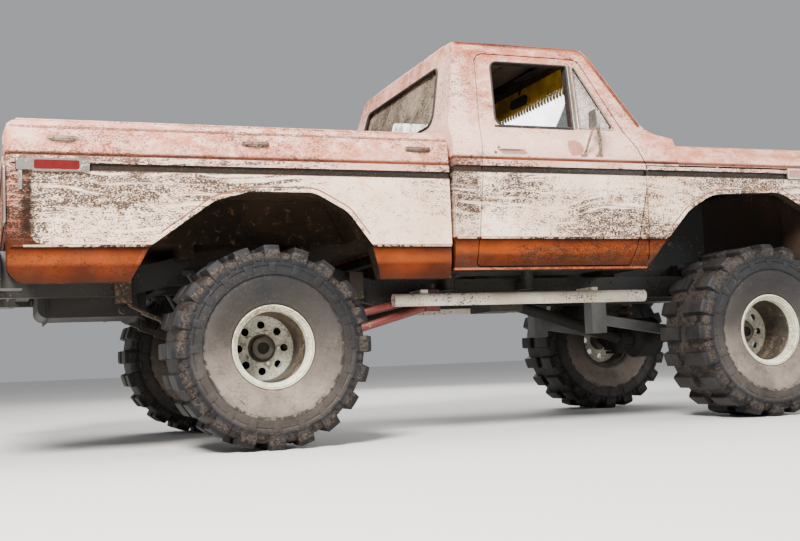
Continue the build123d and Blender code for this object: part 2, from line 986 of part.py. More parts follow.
# Doors, one from the other by mirroring
window_cut = [
    (cab_rear_x + window_rear_low_on, window_low_z, window_radius),
    (cab_rear_x + window_rear_top_on, drip_z - window_top_drop, window_radius),
    (cab_front_x - window_front_top_back, drip_z - window_top_drop, vent_radius),
    (cab_front_x - window_front_low_back, window_low_z, vent_radius),
]
vent_cut = [
    (cab_front_x - vent_rear_low_back, window_low_z, vent_radius),
    (cab_front_x - vent_rear_top_back, drip_z - vent_top_drop, vent_radius),
    (cab_front_x - vent_head_back, drip_z - vent_top_drop, vent_radius),
    (cab_front_x - vent_front_low_back, window_low_z, window_radius / 2.0),
]
handle_rows = [
    (handle_x - handle_length / 2.0, -side_half + shoulder_tuck * 2.0),
    (handle_x - handle_length / 2.0, -side_half - handle_depth, handle_wall),
    (handle_x + handle_length / 2.0, -side_half - handle_depth, handle_wall),
    (handle_x + handle_length / 2.0, -side_half + shoulder_tuck * 2.0),
]
handle_finger_rows = [
    (handle_x - handle_length / 2.0 + handle_height, -side_half),
    (handle_x - handle_length / 2.0 + handle_height, -side_half - handle_depth + handle_wall),
    (handle_x + handle_length / 2.0 - handle_height, -side_half - handle_depth + handle_wall),
    (handle_x + handle_length / 2.0 - handle_height, -side_half),
]
handle_low_z = handle_z - handle_height / 2.0
hinge_mid_z = hinge_low_z + hinge_barrel
hinge_top_z = hinge_mid_z + hinge_barrel
handle_top_z = handle_low_z + handle_height
handle = level_block(handle_rows, handle_low_z, handle_top_z)
handle_gap = level_block(handle_finger_rows, handle_low_z - panel_gap, handle_top_z + panel_gap)
with BuildPart() as door_right:
    add(cab_form.part)
    add(door_zone.part, mode=Mode.INTERSECT)
    left_half_top = (cab_front_x, side_half + past, roof_top_z + past)
    add(box_between((cab_rear_x, 0.0, -past), left_half_top), mode=Mode.SUBTRACT)
    add(side_block(window_cut, 0.0, -side_half), mode=Mode.SUBTRACT)
    add(side_block(vent_cut, 0.0, -side_half), mode=Mode.SUBTRACT)
    add(handle)
    add(handle_gap, mode=Mode.SUBTRACT)
    add(rod_between((hinge_x, -side_half, hinge_mid_z), (hinge_x, -side_half, hinge_top_z), hinge_radius))
    add(
        box_between(
            (door_belt_x - hinge_leaf, -side_half, hinge_mid_z),
            (hinge_x, -side_half + hinge_radius, hinge_top_z),
        )
    )
door_right.part.label = "door_right"
export_step(door_right.part, "parts/door_right.step")

with BuildPart() as door_left:
    add(mirrored(door_right.part))
door_left.part.label = "door_left"
export_step(door_left.part, "parts/door_left.step")

# Vent glass in the front corner of each door window
glass_rows = [shoulder_row[:2], sill_row[:2], roof_edge_row[:2], drip_row]
glass_outer = [(-y + glass_depth, z) for y, z in glass_rows]
glass_inner = [(-y + glass_depth + glass_thickness, z) for y, z in reversed(glass_rows)]
with BuildPart() as vent_glass_right:
    add(section_block(glass_outer + glass_inner, cab_rear_x, cab_front_x))
    add(side_block(vent_cut, 0.0, -side_half), mode=Mode.INTERSECT)
vent_glass_right.part.label = "vent_glass_right"
export_step(vent_glass_right.part, "parts/vent_glass_right.step")

with BuildPart() as vent_glass_left:
    add(mirrored(vent_glass_right.part))
vent_glass_left.part.label = "vent_glass_left"
export_step(vent_glass_left.part, "parts/vent_glass_left.step")

# Mirrors on their tube arms
mirror_x = cab_front_x - mirror_back
mirror_y = -side_half - mirror_reach
mirror_low_z = mirror_z - mirror_drop
mirror_rows = [
    (mirror_y - mirror_width / 2.0, mirror_z - mirror_height / 2.0, mirror_radius),
    (mirror_y - mirror_width / 2.0, mirror_z + mirror_height / 2.0, mirror_radius),
    (mirror_y + mirror_width / 2.0, mirror_z + mirror_height / 2.0, mirror_radius),
    (mirror_y + mirror_width / 2.0, mirror_z - mirror_height / 2.0, mirror_radius),
]
with BuildPart() as mirror_right:
    add(section_block(mirror_rows, mirror_x - mirror_thickness / 2.0, mirror_x + mirror_thickness / 2.0))
    for foot_x in (mirror_x + mirror_foot_on, mirror_x - mirror_foot_back):
        foot = (foot_x, -side_half + shoulder_tuck, mirror_low_z)
        add(plain_rod((mirror_x, mirror_y, mirror_z), foot, mirror_arm_radius))
    add(door_right.part, mode=Mode.SUBTRACT)
mirror_right.part.label = "mirror_right"
export_step(mirror_right.part, "parts/mirror_right.step")

with BuildPart() as mirror_left:
    add(mirrored(mirror_right.part))
mirror_left.part.label = "mirror_left"
export_step(mirror_left.part, "parts/mirror_left.step")

# Bed sides with their arches, rails and stake pockets
bed_rows = lower_section(bed_drop) + [
    (side_half - bed_shoulder_in, bed_rail_z - bed_shoulder_drop, bed_rail_radius),
    (bed_rail_outer, bed_rail_z, bed_rail_radius),
    (bed_rail_inner, bed_rail_z),
    (bed_rail_inner, rail_under_z),
    (bed_inner_half, rail_under_z),
    (bed_inner_half, -bed_drop),
]
bed_side_rows = [
    (bed_tail_x, -bed_drop, tail_radius * 2.0),
    (bed_tail_x, bed_rail_z, bed_corner),
    (bed_front_x, bed_rail_z),
    (bed_front_x, -bed_drop),
]
bed_plan_rows = [
    (bed_tail_x, 0.0),
    (bed_tail_x, -side_half - ledge_out, tail_radius),
    (bed_front_x, -side_half - ledge_out),
    (bed_front_x, 0.0),
]
rear_arch_cut = side_block(rear_arch, side_half + past, -side_half - past)
gate_hole_start = (gate_pin_x, -bed_inner_half, gate_pin_z)
gate_hole_end = (gate_pin_x, -gate_half, gate_pin_z)
gate_pin_hole = rod_between(gate_hole_start, gate_hole_end, gate_pin_radius + running_gap)
pocket_y = (bed_rail_outer + bed_rail_inner) / 2.0
with BuildPart() as bed_side_right:
    add(section_block(other_side(bed_rows), bed_tail_x, bed_front_x))
    add(side_block(bed_side_rows, 0.0, -side_half - past), mode=Mode.INTERSECT)
    add(level_block(bed_plan_rows, -bed_drop, bed_rail_z), mode=Mode.INTERSECT)
    add(rear_arch_cut, mode=Mode.SUBTRACT)
    add(
        box_between(
            (bed_tail_x, -bed_inner_half, gate_low_z),
            (bed_tail_x + gate_thickness, -bed_rail_inner, rail_under_z),
        )
    )
    add(gate_pin_hole, mode=Mode.SUBTRACT)
    for pocket in pocket_x:
        add(
            box_between(
                (pocket - pocket_length / 2.0, -pocket_y - pocket_width / 2.0, rail_under_z),
                (pocket + pocket_length / 2.0, -pocket_y + pocket_width / 2.0, bed_rail_z + panel_gap),
            ),
            mode=Mode.SUBTRACT,
        )
with BuildPart() as bed_sides:
    add(bed_side_right.part)
    add(mirrored(bed_side_right.part))
bed_sides.part.label = "bed_sides"
export_step(bed_sides.part, "parts/bed_sides.step")

# Bed floor with ribs, front wall, wheelhouses and the bolsters under it
floor_under_z = bed_floor_z - bed_floor_thickness
bed_floor_rear_x = bed_tail_x + gate_thickness + panel_gap
house_rows = [
    (-wheelhouse_rear, floor_under_z),
    (-wheelhouse_rear + wheelhouse_slope, wheelhouse_top_z),
    (wheelhouse_front - wheelhouse_slope, wheelhouse_top_z),
    (wheelhouse_front, floor_under_z),
]
house_void_rows = [
    (-wheelhouse_rear + wheelhouse_wall, floor_under_z - panel_gap),
    (-wheelhouse_rear + wheelhouse_slope + wheelhouse_wall, wheelhouse_top_z - wheelhouse_wall),
    (wheelhouse_front - wheelhouse_slope - wheelhouse_wall, wheelhouse_top_z - wheelhouse_wall),
    (wheelhouse_front - wheelhouse_wall, floor_under_z - panel_gap),
]
rib_pitch = wheelhouse_inner * 2.0 / rib_count
with BuildPart() as bed_floor:
    floor_corner = (bed_floor_rear_x, -bed_inner_half, floor_under_z)
    add(box_between(floor_corner, (bed_front_x, bed_inner_half, bed_floor_z)))
    add(
        box_between(
            (bed_front_x - bed_wall, -bed_inner_half, floor_under_z),
            (bed_front_x, bed_inner_half, rail_under_z),
        )
    )
    for rib in range(rib_count):
        rib_y = (rib - (rib_count - 1) / 2.0) * rib_pitch
        add(
            box_between(
                (bed_floor_rear_x, rib_y - rib_width / 2.0, bed_floor_z),
                (bed_front_x - bed_wall, rib_y + rib_width / 2.0, bed_floor_z + rib_height),
            )
        )
    for side in (-1.0, 1.0):
        add(side_block(house_rows, side * bed_inner_half, side * wheelhouse_inner))
    for side in (-1.0, 1.0):
        add(
            side_block(house_void_rows, side * bed_inner_half, side * (wheelhouse_inner + wheelhouse_wall)),
            mode=Mode.SUBTRACT,
        )
    for bolster in bolster_x:
        add(
            box_between(
                (bolster - bolster_width / 2.0, -wheelhouse_inner, floor_under_z - bolster_width),
                (bolster + bolster_width / 2.0, wheelhouse_inner, floor_under_z),
            )
        )
    for rear_row, next_row in zip(rail_stations[:-1], rail_stations[1:]):
        rail_piece = [
            (rear_row[0], rear_row[1]),
            (next_row[0], next_row[1]),
            (next_row[0], next_row[2]),
            (rear_row[0], rear_row[2]),
        ]
        add(side_block(rail_piece, rail_outer, -rail_outer), mode=Mode.SUBTRACT)
bed_floor.part.label = "bed_floor"
export_step(bed_floor.part, "parts/bed_floor.step")

# Tailgate with a pressed field
gate_rows = [
    (-gate_half, gate_low_z),
    (-gate_half, gate_top_z, gate_radius),
    (gate_half, gate_top_z, gate_radius),
    (gate_half, gate_low_z),
]
field_half = gate_half - gate_frame
field_rows = [
    (-field_half, gate_low_z + gate_frame, gate_field_radius),
    (-field_half, gate_top_z - gate_frame, gate_field_radius),
    (field_half, gate_top_z - gate_frame, gate_field_radius),
    (field_half, gate_low_z + gate_frame, gate_field_radius),
]
gate_pin_end = gate_half + gate_pin_reach
with BuildPart() as tailgate:
    add(section_block(gate_rows, gate_outer_x, gate_outer_x + gate_thickness))
    add(section_block(field_rows, gate_outer_x - panel_gap, gate_outer_x + gate_recess), mode=Mode.SUBTRACT)
    pin_left = (gate_pin_x, gate_pin_end, gate_pin_z)
    add(rod_between((gate_pin_x, -gate_pin_end, gate_pin_z), pin_left, gate_pin_radius))
tailgate.part.label = "tailgate"
export_step(tailgate.part, "parts/tailgate.step")

# Fenders with the inner apron and open arch
apron_half = side_half - apron_in
fender_inner_half = side_half - fender_wall
fender_top_z = hood_line_z - panel_gap
fender_rows = lower_section()[:9] + [
    (side_half + ledge_out, fender_top_z),
    (apron_half, fender_top_z),
    (apron_half, fender_top_z - apron_thickness),
    (fender_inner_half, hood_line_z - fender_wall),
    (fender_inner_half - past, 0.0),
]
fender_side_rows = [
    (fender_front_x, hood_line_z),
    (fender_front_x, nose_low_z, nose_radius),
    (fender_front_x - past, -past),
    (door_toe_x + panel_gap * 2.0, -past),
    (door_knee_x + knee_gap, door_knee_z),
    (fender_rear_x, door_mid_z),
    (fender_rear_x, hood_line_z),
]
front_arch_rows = [(front_axle_at + x, z, radius) for x, z, radius in front_arch]
side_stop_y = side_half - hood_side_stop_in
side_stop_x = cab_front_x + hood_side_stop_on
with BuildPart() as fender_right:
    add(section_block(other_side(fender_rows), door_toe_x, fender_front_x))
    add(side_block(fender_side_rows, 0.0, -side_half - past), mode=Mode.INTERSECT)
    add(side_block(front_arch_rows, 0.0, -side_half - past), mode=Mode.SUBTRACT)
    add(door_zone.part, mode=Mode.SUBTRACT)
    add(cab_form.part, mode=Mode.SUBTRACT)
    for barrel_z in (hinge_low_z - seat_gap, hinge_top_z + seat_gap):
        barrel_top = (hinge_x, -side_half, barrel_z + hinge_barrel)
        add(rod_between((hinge_x, -side_half, barrel_z), barrel_top, hinge_radius))
        add(
            box_between(
                (hinge_x, -side_half, barrel_z),
                (fender_rear_x + hinge_leaf, -side_half + hinge_radius, barrel_z + hinge_barrel),
            )
        )
    add(
        plain_rod(
            (side_stop_x, -side_stop_y, fender_top_z),
            (side_stop_x, -side_stop_y, hood_line_z + panel_gap - seat_gap),
            hood_stop_radius / 2.0,
        )
    )
with BuildPart() as fenders:
    add(fender_right.part)
    add(mirrored(fender_right.part))
fenders.part.label = "fenders"
export_step(fenders.part, "parts/fenders.step")

# Hood, a skin that wraps down to the fender line
hood_low_z = hood_line_z + panel_gap
hood_roll_half = side_half - hood_roll_in
hood_roll_z = hood_line_z + hood_roll_rise
hood_shoulder_half = side_half - hood_shoulder_in
hood_shoulder_z = hood_line_z + hood_shoulder_rise
hood_flat_half = side_half - hood_flat_in
hood_flat_z = hood_line_z + hood_flat_rise
hood_nose_x = hood_front_x - hood_nose_length
hood_rows = both_halves(
    [
        (hood_side_half, hood_low_z),
        (hood_roll_half, hood_roll_z),
        (hood_shoulder_half, hood_shoulder_z, hood_shoulder_radius),
        (hood_flat_half, hood_flat_z),
        (0.0, hood_top_z),
    ]
)
hood_void_rows = both_halves(
    [
        (hood_side_half - hood_skin, hood_line_z - panel_gap),
        (hood_roll_half - hood_skin, hood_roll_z - panel_gap),
        (hood_shoulder_half - hood_skin / 2.0, hood_shoulder_z - hood_skin),
        (hood_flat_half, hood_flat_z - hood_skin),
        (0.0, hood_top_z - hood_skin),
    ]
)
hood_side = [
    (hood_rear_x, hood_line_z),
    (hood_rear_x, hood_top_z + panel_gap),
    (hood_nose_x, hood_top_z - hood_nose_drop, hood_nose_radius * 4.0),
    (hood_front_x, hood_roll_z, hood_nose_radius / 2.0),
    (hood_front_x, hood_line_z),
]
hood_void_side = [
    (hood_rear_x - panel_gap, hood_line_z - panel_gap),
    (hood_rear_x - panel_gap, hood_top_z),
    (hood_nose_x - hood_skin, hood_top_z - hood_nose_drop - hood_skin, hood_nose_radius * 2.0),
    (hood_front_x - hood_skin, hood_roll_z - hood_skin),
    (hood_front_x - hood_skin, hood_line_z - panel_gap),
]
with BuildPart() as hood_hollow:
    add(section_block(hood_void_rows, hood_rear_x - past, hood_front_x))
    add(side_block(hood_void_side, side_half, -side_half), mode=Mode.INTERSECT)
with BuildPart() as hood:
    add(section_block(hood_rows, hood_rear_x, hood_front_x))
    add(side_block(hood_side, side_half, -side_half), mode=Mode.INTERSECT)
    add(hood_hollow.part, mode=Mode.SUBTRACT)
hood.part.label = "hood"
export_step(hood.part, "parts/hood.step")

# Radiator support with the radiator core in it
support_half = side_half - support_in
support_front_x = support_x + support_thickness
with BuildPart() as radiator_support:
    add(
        box_between(
            (support_x, -support_half, support_low_z),
            (support_front_x, support_half, fender_top_z - apron_thickness),
        )
    )
    add(
        box_between(
            (support_x - panel_gap, -radiator_half, radiator_low_z),
            (support_x + radiator_recess, radiator_half, radiator_high_z),
        ),
        mode=Mode.SUBTRACT,
    )
    add(fenders.part, mode=Mode.SUBTRACT)
radiator_support.part.label = "radiator_support"
export_step(radiator_support.part, "parts/radiator_support.step")


# The space of one front signal lamp, out to front_x
def signal_lens(side, front_x):
    mid_y = side * lamp_y
    return box_between(
        (grille_front_x - lamp_bezel, mid_y - signal_width / 2.0, signal_z - signal_height / 2.0),
        (front_x, mid_y + signal_width / 2.0, signal_z + signal_height / 2.0),
    )


# Grille: a frame with bars, lamp pockets and legs back to the support
grille_half_rows = [(grille_half, grille_low_z, grille_radius), (grille_half, grille_top_z, grille_radius)]
grille_open_half = lamp_y - lamp_radius - lamp_bezel
bar_pitch = (grille_top_z - grille_low_z - grille_frame * 2.0) / (grille_bars + 1)
with BuildPart() as grille:
    add(section_block(both_halves(grille_half_rows), grille_rear_x, grille_front_x))
    add(
        box_between(
            (grille_rear_x - panel_gap, -grille_open_half, grille_low_z + grille_frame),
            (grille_front_x + panel_gap, grille_open_half, grille_top_z - grille_frame),
        ),
        mode=Mode.SUBTRACT,
    )
    for bar in range(grille_bars):
        bar_z = grille_low_z + grille_frame + bar_pitch * (bar + 1)
        add(
            box_between(
                (grille_rear_x, -lamp_y, bar_z - grille_bar_height / 2.0),
                (grille_front_x - panel_gap, lamp_y, bar_z + grille_bar_height / 2.0),
            )
        )
    for side in (-1.0, 1.0):
        lamp_back = (grille_front_x - lamp_depth, side * lamp_y, lamp_z)
        lamp_past = (grille_front_x + panel_gap, side * lamp_y, lamp_z)
        add(rod_between(lamp_back, lamp_past, lamp_radius), mode=Mode.SUBTRACT)
        add(
            box_between(
                (support_front_x, side * lamp_y - rail_width, lamp_z + lamp_radius),
                (grille_rear_x, side * lamp_y + rail_width, lamp_z + lamp_radius + rail_width),
            )
        )
        add(signal_lens(side, grille_front_x + panel_gap), mode=Mode.SUBTRACT)
        add(
            plain_rod(
                (hood_stop_x, side * hood_stop_y, grille_top_z - grille_frame / 2.0),
                (hood_stop_x, side * hood_stop_y, hood_low_z - seat_gap),
                hood_stop_radius,
            )
        )
    add(fenders.part, mode=Mode.SUBTRACT)
grille.part.label = "grille"
export_step(grille.part, "parts/grille.step")

# Head lamps
with BuildPart() as headlamps:
    for side in (-1.0, 1.0):
        lamp_back = (grille_front_x - lamp_depth, side * lamp_y, lamp_z)
        lamp_front = (grille_front_x - panel_gap, side * lamp_y, lamp_z)
        add(rod_between(lamp_back, lamp_front, lamp_radius))
headlamps.part.label = "headlamps"
export_step(headlamps.part, "parts/headlamps.step")


# A marker lamp seated on the body's ridge
def marker_lamp(at_x, at_z, length, side):
    return box_between(
        (at_x - length / 2.0, side * (side_half + ledge_out), at_z - marker_height / 2.0),
        (at_x + length / 2.0, side * (side_half + ledge_out + marker_depth), at_z + marker_height / 2.0),
    )


# Front signal lamps in the grille and amber markers on the fenders
with BuildPart() as signal_lamps:
    for side in (-1.0, 1.0):
        add(signal_lens(side, grille_front_x))
        add(marker_lamp(front_marker_x, front_marker_z, marker_length, side))
signal_lamps.part.label = "signal_lamps"
export_step(signal_lamps.part, "parts/signal_lamps.step")

# Tail lamps on the bed's rear posts and red markers on its sides
with BuildPart() as tail_lamps:
    for side in (-1.0, 1.0):
        add(
            box_between(
                (bed_tail_x - tail_lamp_depth, side * tail_lamp_y - tail_lamp_width / 2.0, tail_lamp_low_z),
                (bed_tail_x, side * tail_lamp_y + tail_lamp_width / 2.0, tail_lamp_low_z + tail_lamp_height),
            )
        )
        add(marker_lamp(rear_marker_x, rear_marker_z, rear_marker_length, side))
tail_lamps.part.label = "tail_lamps"
export_step(tail_lamps.part, "parts/tail_lamps.step")

# Ladder frame: two rails, crossmembers, body mounts and the posts under the radiator support
rail_rows = [(x, top) for x, top, low in rail_stations] + [(x, low) for x, top, low in reversed(rail_stations)]
rail_mid_y = rail_outer - rail_width / 2.0
rail_inner = rail_outer - rail_width
support_post_x = support_x + support_thickness / 2.0
with BuildPart() as frame:
    for side in (-1.0, 1.0):
        add(side_block(rail_rows, side * rail_outer, side * rail_inner))
    for cross in cross_x:
        under_cross = [row for row in rail_stations if row[0] <= cross][-1]
        cross_z = (under_cross[1] + under_cross[2]) / 2.0
        add(
            box_between(
                (cross - cross_width / 2.0, -rail_inner, cross_z - cross_height / 2.0),
                (cross + cross_width / 2.0, rail_inner, cross_z + cross_height / 2.0),
            )
        )
    for side in (-1.0, 1.0):
        mount_y = side * (rail_outer + mount_reach)
        for mount in mount_x:
            add(plain_rod((mount, mount_y, mount_low_z), (mount, mount_y, floor_low_z), mount_radius))
            add(
                box_between(
                    (mount - mount_radius, side * rail_outer, mount_low_z),
                    (mount + mount_radius, mount_y, mount_low_z + mount_plate),
                )
            )
        post_y = side * rail_mid_y
        post_low = (support_post_x, post_y, rail_end_top_z)
        add(plain_rod(post_low, (support_post_x, post_y, support_low_z), support_thickness / 2.0))
frame.part.label = "frame"
export_step(frame.part, "parts/frame.step")

# Front bumper on brackets, and the rear step bumper with a hitch-ball bore
bumper_rear_x = front_reach - bumper_thickness
front_bumper_half = side_half - front_bumper_in
bumper_flat_half = front_bumper_half - bumper_end_sweep
half_front = [
    (bumper_flat_half, front_reach),
    (front_bumper_half, bumper_rear_x),
    (front_bumper_half, bumper_rear_x - bumper_curl_depth),
    (bumper_flat_half, front_reach - bumper_thickness / 2.0),
]
bumper_side_rows = [
    (bumper_rear_x - past, front_bumper_z - bumper_height / 2.0),
    (front_reach, front_bumper_z - bumper_height / 2.0, bumper_radius),
    (front_reach, front_bumper_z + bumper_height / 2.0, bumper_radius),
    (bumper_rear_x - past, front_bumper_z + bumper_height / 2.0),
]
step_half = side_half - rear_bumper_in
step_front_x = -rear_reach + rear_bumper_depth
step_low_z = rear_bumper_z - rear_bumper_height / 2.0
step_top_z = rear_bumper_z + rear_bumper_height / 2.0
step_rows = [
    (-rear_reach, step_low_z, rear_bumper_radius),
    (-rear_reach, step_top_z, rear_bumper_radius),
    (step_front_x, step_top_z),
    (step_front_x, step_low_z),
]
hitch_x = -rear_reach + rear_bumper_depth / 2.0
wing_outer = side_half - bumper_wing_in
wing_inner = wing_outer - bumper_wing_width
bumper_plan = [(x, -y) for y, x in half_front] + [(x, y) for y, x in reversed(half_front)]
with BuildPart() as bumpers:
    add(level_block(bumper_plan, front_bumper_z - bumper_height / 2.0, front_bumper_z + bumper_height / 2.0))
    add(side_block(bumper_side_rows, side_half, -side_half), mode=Mode.INTERSECT)
    for side in (-1.0, 1.0):
        add(
            box_between(
                (rail_front_x, side * rail_inner, rail_end_low_z + panel_gap),
                (front_reach - bumper_thickness / 2.0, side * rail_outer, rail_end_top_z - panel_gap),
            )
        )
    add(side_block(step_rows, step_half, -step_half))
    for side in (-1.0, 1.0):
        add(
            box_between(
                (step_front_x, side * wing_inner, step_low_z),
                (step_front_x + bumper_wing_length, side * wing_outer, step_top_z),
            )
        )
        add(
            box_between(
                (step_front_x, side * rail_inner, rail_stations[0][2]),
                (rail_rear_x, side * rail_outer, rail_stations[0][2] + bracket_height),
            )
        )
    hitch_low = (hitch_x, 0.0, step_low_z - past)
    add(rod_between(hitch_low, (hitch_x, 0.0, step_top_z + past), hitch_radius), mode=Mode.SUBTRACT)
bumpers.part.label = "bumpers"
export_step(bumpers.part, "parts/bumpers.step")

# Engine as a plain block with its pan, gearbox and transfer case
mount_front_x = engine_front_x - engine_mount_back
with BuildPart() as powertrain:
    add(box_between((engine_rear_x, -engine_half, engine_low_z), (engine_front_x, engine_half, engine_top_z)))
    add(
        box_between(
            (engine_rear_x + pan_inset, -pan_half, engine_low_z - pan_depth),
            (engine_front_x - pan_inset, pan_half, engine_low_z),
        )
    )
    add(
        box_between(
            (mount_front_x, -rail_inner, engine_low_z - engine_mount_width),
            (mount_front_x + engine_mount_width, rail_inner, engine_low_z + engine_mount_width),
        )
    )
    add(rod_between((gearbox_rear_x, 0.0, gearbox_z), (engine_rear_x, 0.0, gearbox_z), gearbox_radius))
    add(
        box_between(
            (gearbox_rear_x - transfer_length, transfer_shift - transfer_half, transfer_low_z),
            (gearbox_rear_x, transfer_shift + transfer_half, gearbox_radius),
        )
    )
    add(cab_floor.part, mode=Mode.SUBTRACT)
    add(frame.part, mode=Mode.SUBTRACT)
powertrain.part.label = "powertrain"
export_step(powertrain.part, "parts/powertrain.step")


# A banjo differential: a drum across the axle with a domed cover, and its pinion housing to pinion_x
def differential(at_x, at_y, radius, pinion_x):
    rows = [
        (at_x - diff_half_depth - diff_shoulder, 0.0),
        (at_x - diff_half_depth - diff_shoulder, diff_face_radius),
        (at_x - diff_half_depth, radius),
        (at_x + diff_half_depth, radius),
        (at_x + diff_half_depth + diff_shoulder, diff_face_radius),
        (at_x + diff_half_depth + diff_shoulder, 0.0),
    ]
    axis_plane = Plane(origin=station(0.0, at_y, -axle_drop), x_dir=(1, 0, 0), z_dir=(0, -1, 0))
    with BuildPart() as housing:
        with BuildSketch(axis_plane):
            with BuildLine():
                outline(rows)
            make_face()
        revolve(axis=Axis(axis_plane.origin, (1, 0, 0)))
        add(rod_between((at_x, at_y, -axle_drop), (pinion_x, at_y, -axle_drop), shaft_yoke))
    return housing.part


# Rear axle with its differential, brake drums and spindles
with BuildPart() as rear_axle:
    add(rod_between((0.0, -rear_tube_half, -axle_drop), (0.0, rear_tube_half, -axle_drop), tube_radius))
    add(differential(0.0, 0.0, diff_radius, diff_length))
    for side in (-1.0, 1.0):
        flange_y = side * rear_tube_half
        flange = (0.0, flange_y, -axle_drop)
        add(rod_between(flange, (0.0, flange_y - side * drum_depth, -axle_drop), drum_radius))
        add(rod_between(flange, (0.0, flange_y + side * spindle_length, -axle_drop), spindle_radius))
rear_axle.part.label = "rear_axle"
export_step(rear_axle.part, "parts/rear_axle.step")

# Front axle with its offset differential and the yokes for the knuckles
with BuildPart() as front_axle:
    add(
        rod_between(
            (front_axle_at, -front_tube_half, -axle_drop),
            (front_axle_at, front_tube_half, -axle_drop),
            tube_radius,
        )
    )
    add(differential(front_axle_at, front_diff_y, front_diff_radius, front_axle_at - diff_length))
    for side in (-1.0, 1.0):
        tube_end = side * front_tube_half
        yoke_root = tube_end - side * yoke_arm
        yoke_end = side * (kingpin_half + yoke_past_pin)
        add(
            box_between(
                (front_axle_at - yoke_width / 2.0, tube_end, -axle_drop - yoke_height / 2.0),
                (front_axle_at + yoke_width / 2.0, yoke_root, -axle_drop + yoke_height / 2.0),
            )
        )
        for level in (-1.0, 1.0):
            arm_far_z = -axle_drop + level * yoke_height / 2.0
            arm_near_z = arm_far_z - level * yoke_thickness / 2.0
            add(
                box_between(
                    (front_axle_at - yoke_width / 2.0, yoke_root, arm_far_z),
                    (front_axle_at + yoke_width / 2.0, yoke_end, arm_near_z),
                )
            )
        pin_low = (front_axle_at, side * kingpin_half, -axle_drop - yoke_height)
        pin_high = (front_axle_at, side * kingpin_half, -axle_drop + yoke_height)
        add(rod_between(pin_low, pin_high, kingpin_radius + running_gap), mode=Mode.SUBTRACT)
front_axle.part.label = "front_axle"
export_step(front_axle.part, "parts/front_axle.step")

# Knuckles: a block held between the yoke arms, a flange and the wheel spindle
knuckle_half_height = yoke_height / 2.0 - yoke_thickness / 2.0 - knuckle_gap
knuckle_outer_y = -kingpin_half - knuckle_plate
knuckle_inner_y = -kingpin_half + knuckle_plate / 2.0
with BuildPart() as knuckle_right:
    add(
        box_between(
            (front_axle_at - knuckle_plate, knuckle_outer_y, -axle_drop - knuckle_half_height),
            (front_axle_at + knuckle_plate, knuckle_inner_y, -axle_drop + knuckle_half_height),
        )
    )
    hub_face = (front_axle_at, -rear_tube_half, -axle_drop)
    add(rod_between((front_axle_at, -kingpin_half, -axle_drop), hub_face, flange_radius))
    pin_low = (front_axle_at, -kingpin_half, -axle_drop - yoke_height / 2.0)
    pin_high = (front_axle_at, -kingpin_half, -axle_drop + yoke_height / 2.0)
    add(rod_between(pin_low, pin_high, kingpin_radius))
    add(rod_between(hub_face, (front_axle_at, -rear_tube_half - spindle_length, -axle_drop), spindle_radius))
knuckle_right.part.label = "knuckle_right"
export_step(knuckle_right.part, "parts/knuckle_right.step")

with BuildPart() as knuckle_left:
    add(mirrored(knuckle_right.part))
knuckle_left.part.label = "knuckle_left"
export_step(knuckle_left.part, "parts/knuckle_left.step")

# Drive shafts to both axles
transfer_rear_x = gearbox_rear_x - transfer_length
front_pinion = (front_axle_at - diff_length, front_diff_y, -axle_drop)
with BuildPart() as driveshafts:
    add(rod_between((diff_length, 0.0, -axle_drop), (transfer_rear_x, 0.0, shaft_z), shaft_radius))
    add(rod_between((gearbox_rear_x, front_shaft_y, front_shaft_z), front_pinion, shaft_radius))
    add(powertrain.part, mode=Mode.SUBTRACT)
    add(front_axle.part, mode=Mode.SUBTRACT)
    add(rear_axle.part, mode=Mode.SUBTRACT)
    add(frame.part, mode=Mode.SUBTRACT)
driveshafts.part.label = "driveshafts"
export_step(driveshafts.part, "parts/driveshafts.step")


# One curved leaf of the rear packs, as long as its reach each way
def spring_leaf(leaf, side):
    reach = spring_half_length - leaf * leaf_step
    low = spring_base_z + (leaf_count - 1 - leaf) * leaf_thickness
    end_low = low + spring_rise * (reach / spring_half_length) ** 2
    with BuildPart() as blade:
        with BuildSketch(side_plane(side * spring_y + spring_width / 2.0)):
            with BuildLine():
                top_ends = ((-reach, end_low + leaf_thickness), (reach, end_low + leaf_thickness))
                top = ThreePointArc(top_ends[0], (0.0, low + leaf_thickness), top_ends[1])
                bottom = ThreePointArc((-reach, end_low), (0.0, low), (reach, end_low))
                Line(top @ 0, bottom @ 0)
                Line(top @ 1, bottom @ 1)
            make_face()
        extrude(amount=spring_width)
    return blade.part


# Rear leaf packs on the axle tube, with hangers to the rails
clamp_top_z = spring_base_z + clamp_height
hanger_low_z = spring_base_z + spring_rise + (leaf_count - 1) * leaf_thickness
with BuildPart() as leaf_springs:
    for side in (-1.0, 1.0):
        near = side * spring_y - spring_width / 2.0
        far = side * spring_y + spring_width / 2.0
        for leaf in range(leaf_count):
            add(spring_leaf(leaf, side))
        for end in (-1.0, 1.0):
            hanger_x = end * spring_half_length
            add(
                box_between(
                    (hanger_x - hanger_width, near, hanger_low_z),
                    (hanger_x + hanger_width, far, hanger_low_z + hanger_height),
                )
            )
        add(
            box_between(
                (-clamp_half_length, near - panel_gap, -axle_drop + tube_radius - clamp_overlap),
                (clamp_half_length, far + panel_gap, clamp_top_z + leaf_thickness),
            )
        )
    add(rear_axle.part, mode=Mode.SUBTRACT)
    add(frame.part, mode=Mode.SUBTRACT)
leaf_springs.part.label = "leaf_springs"
export_step(leaf_springs.part, "parts/leaf_springs.step")

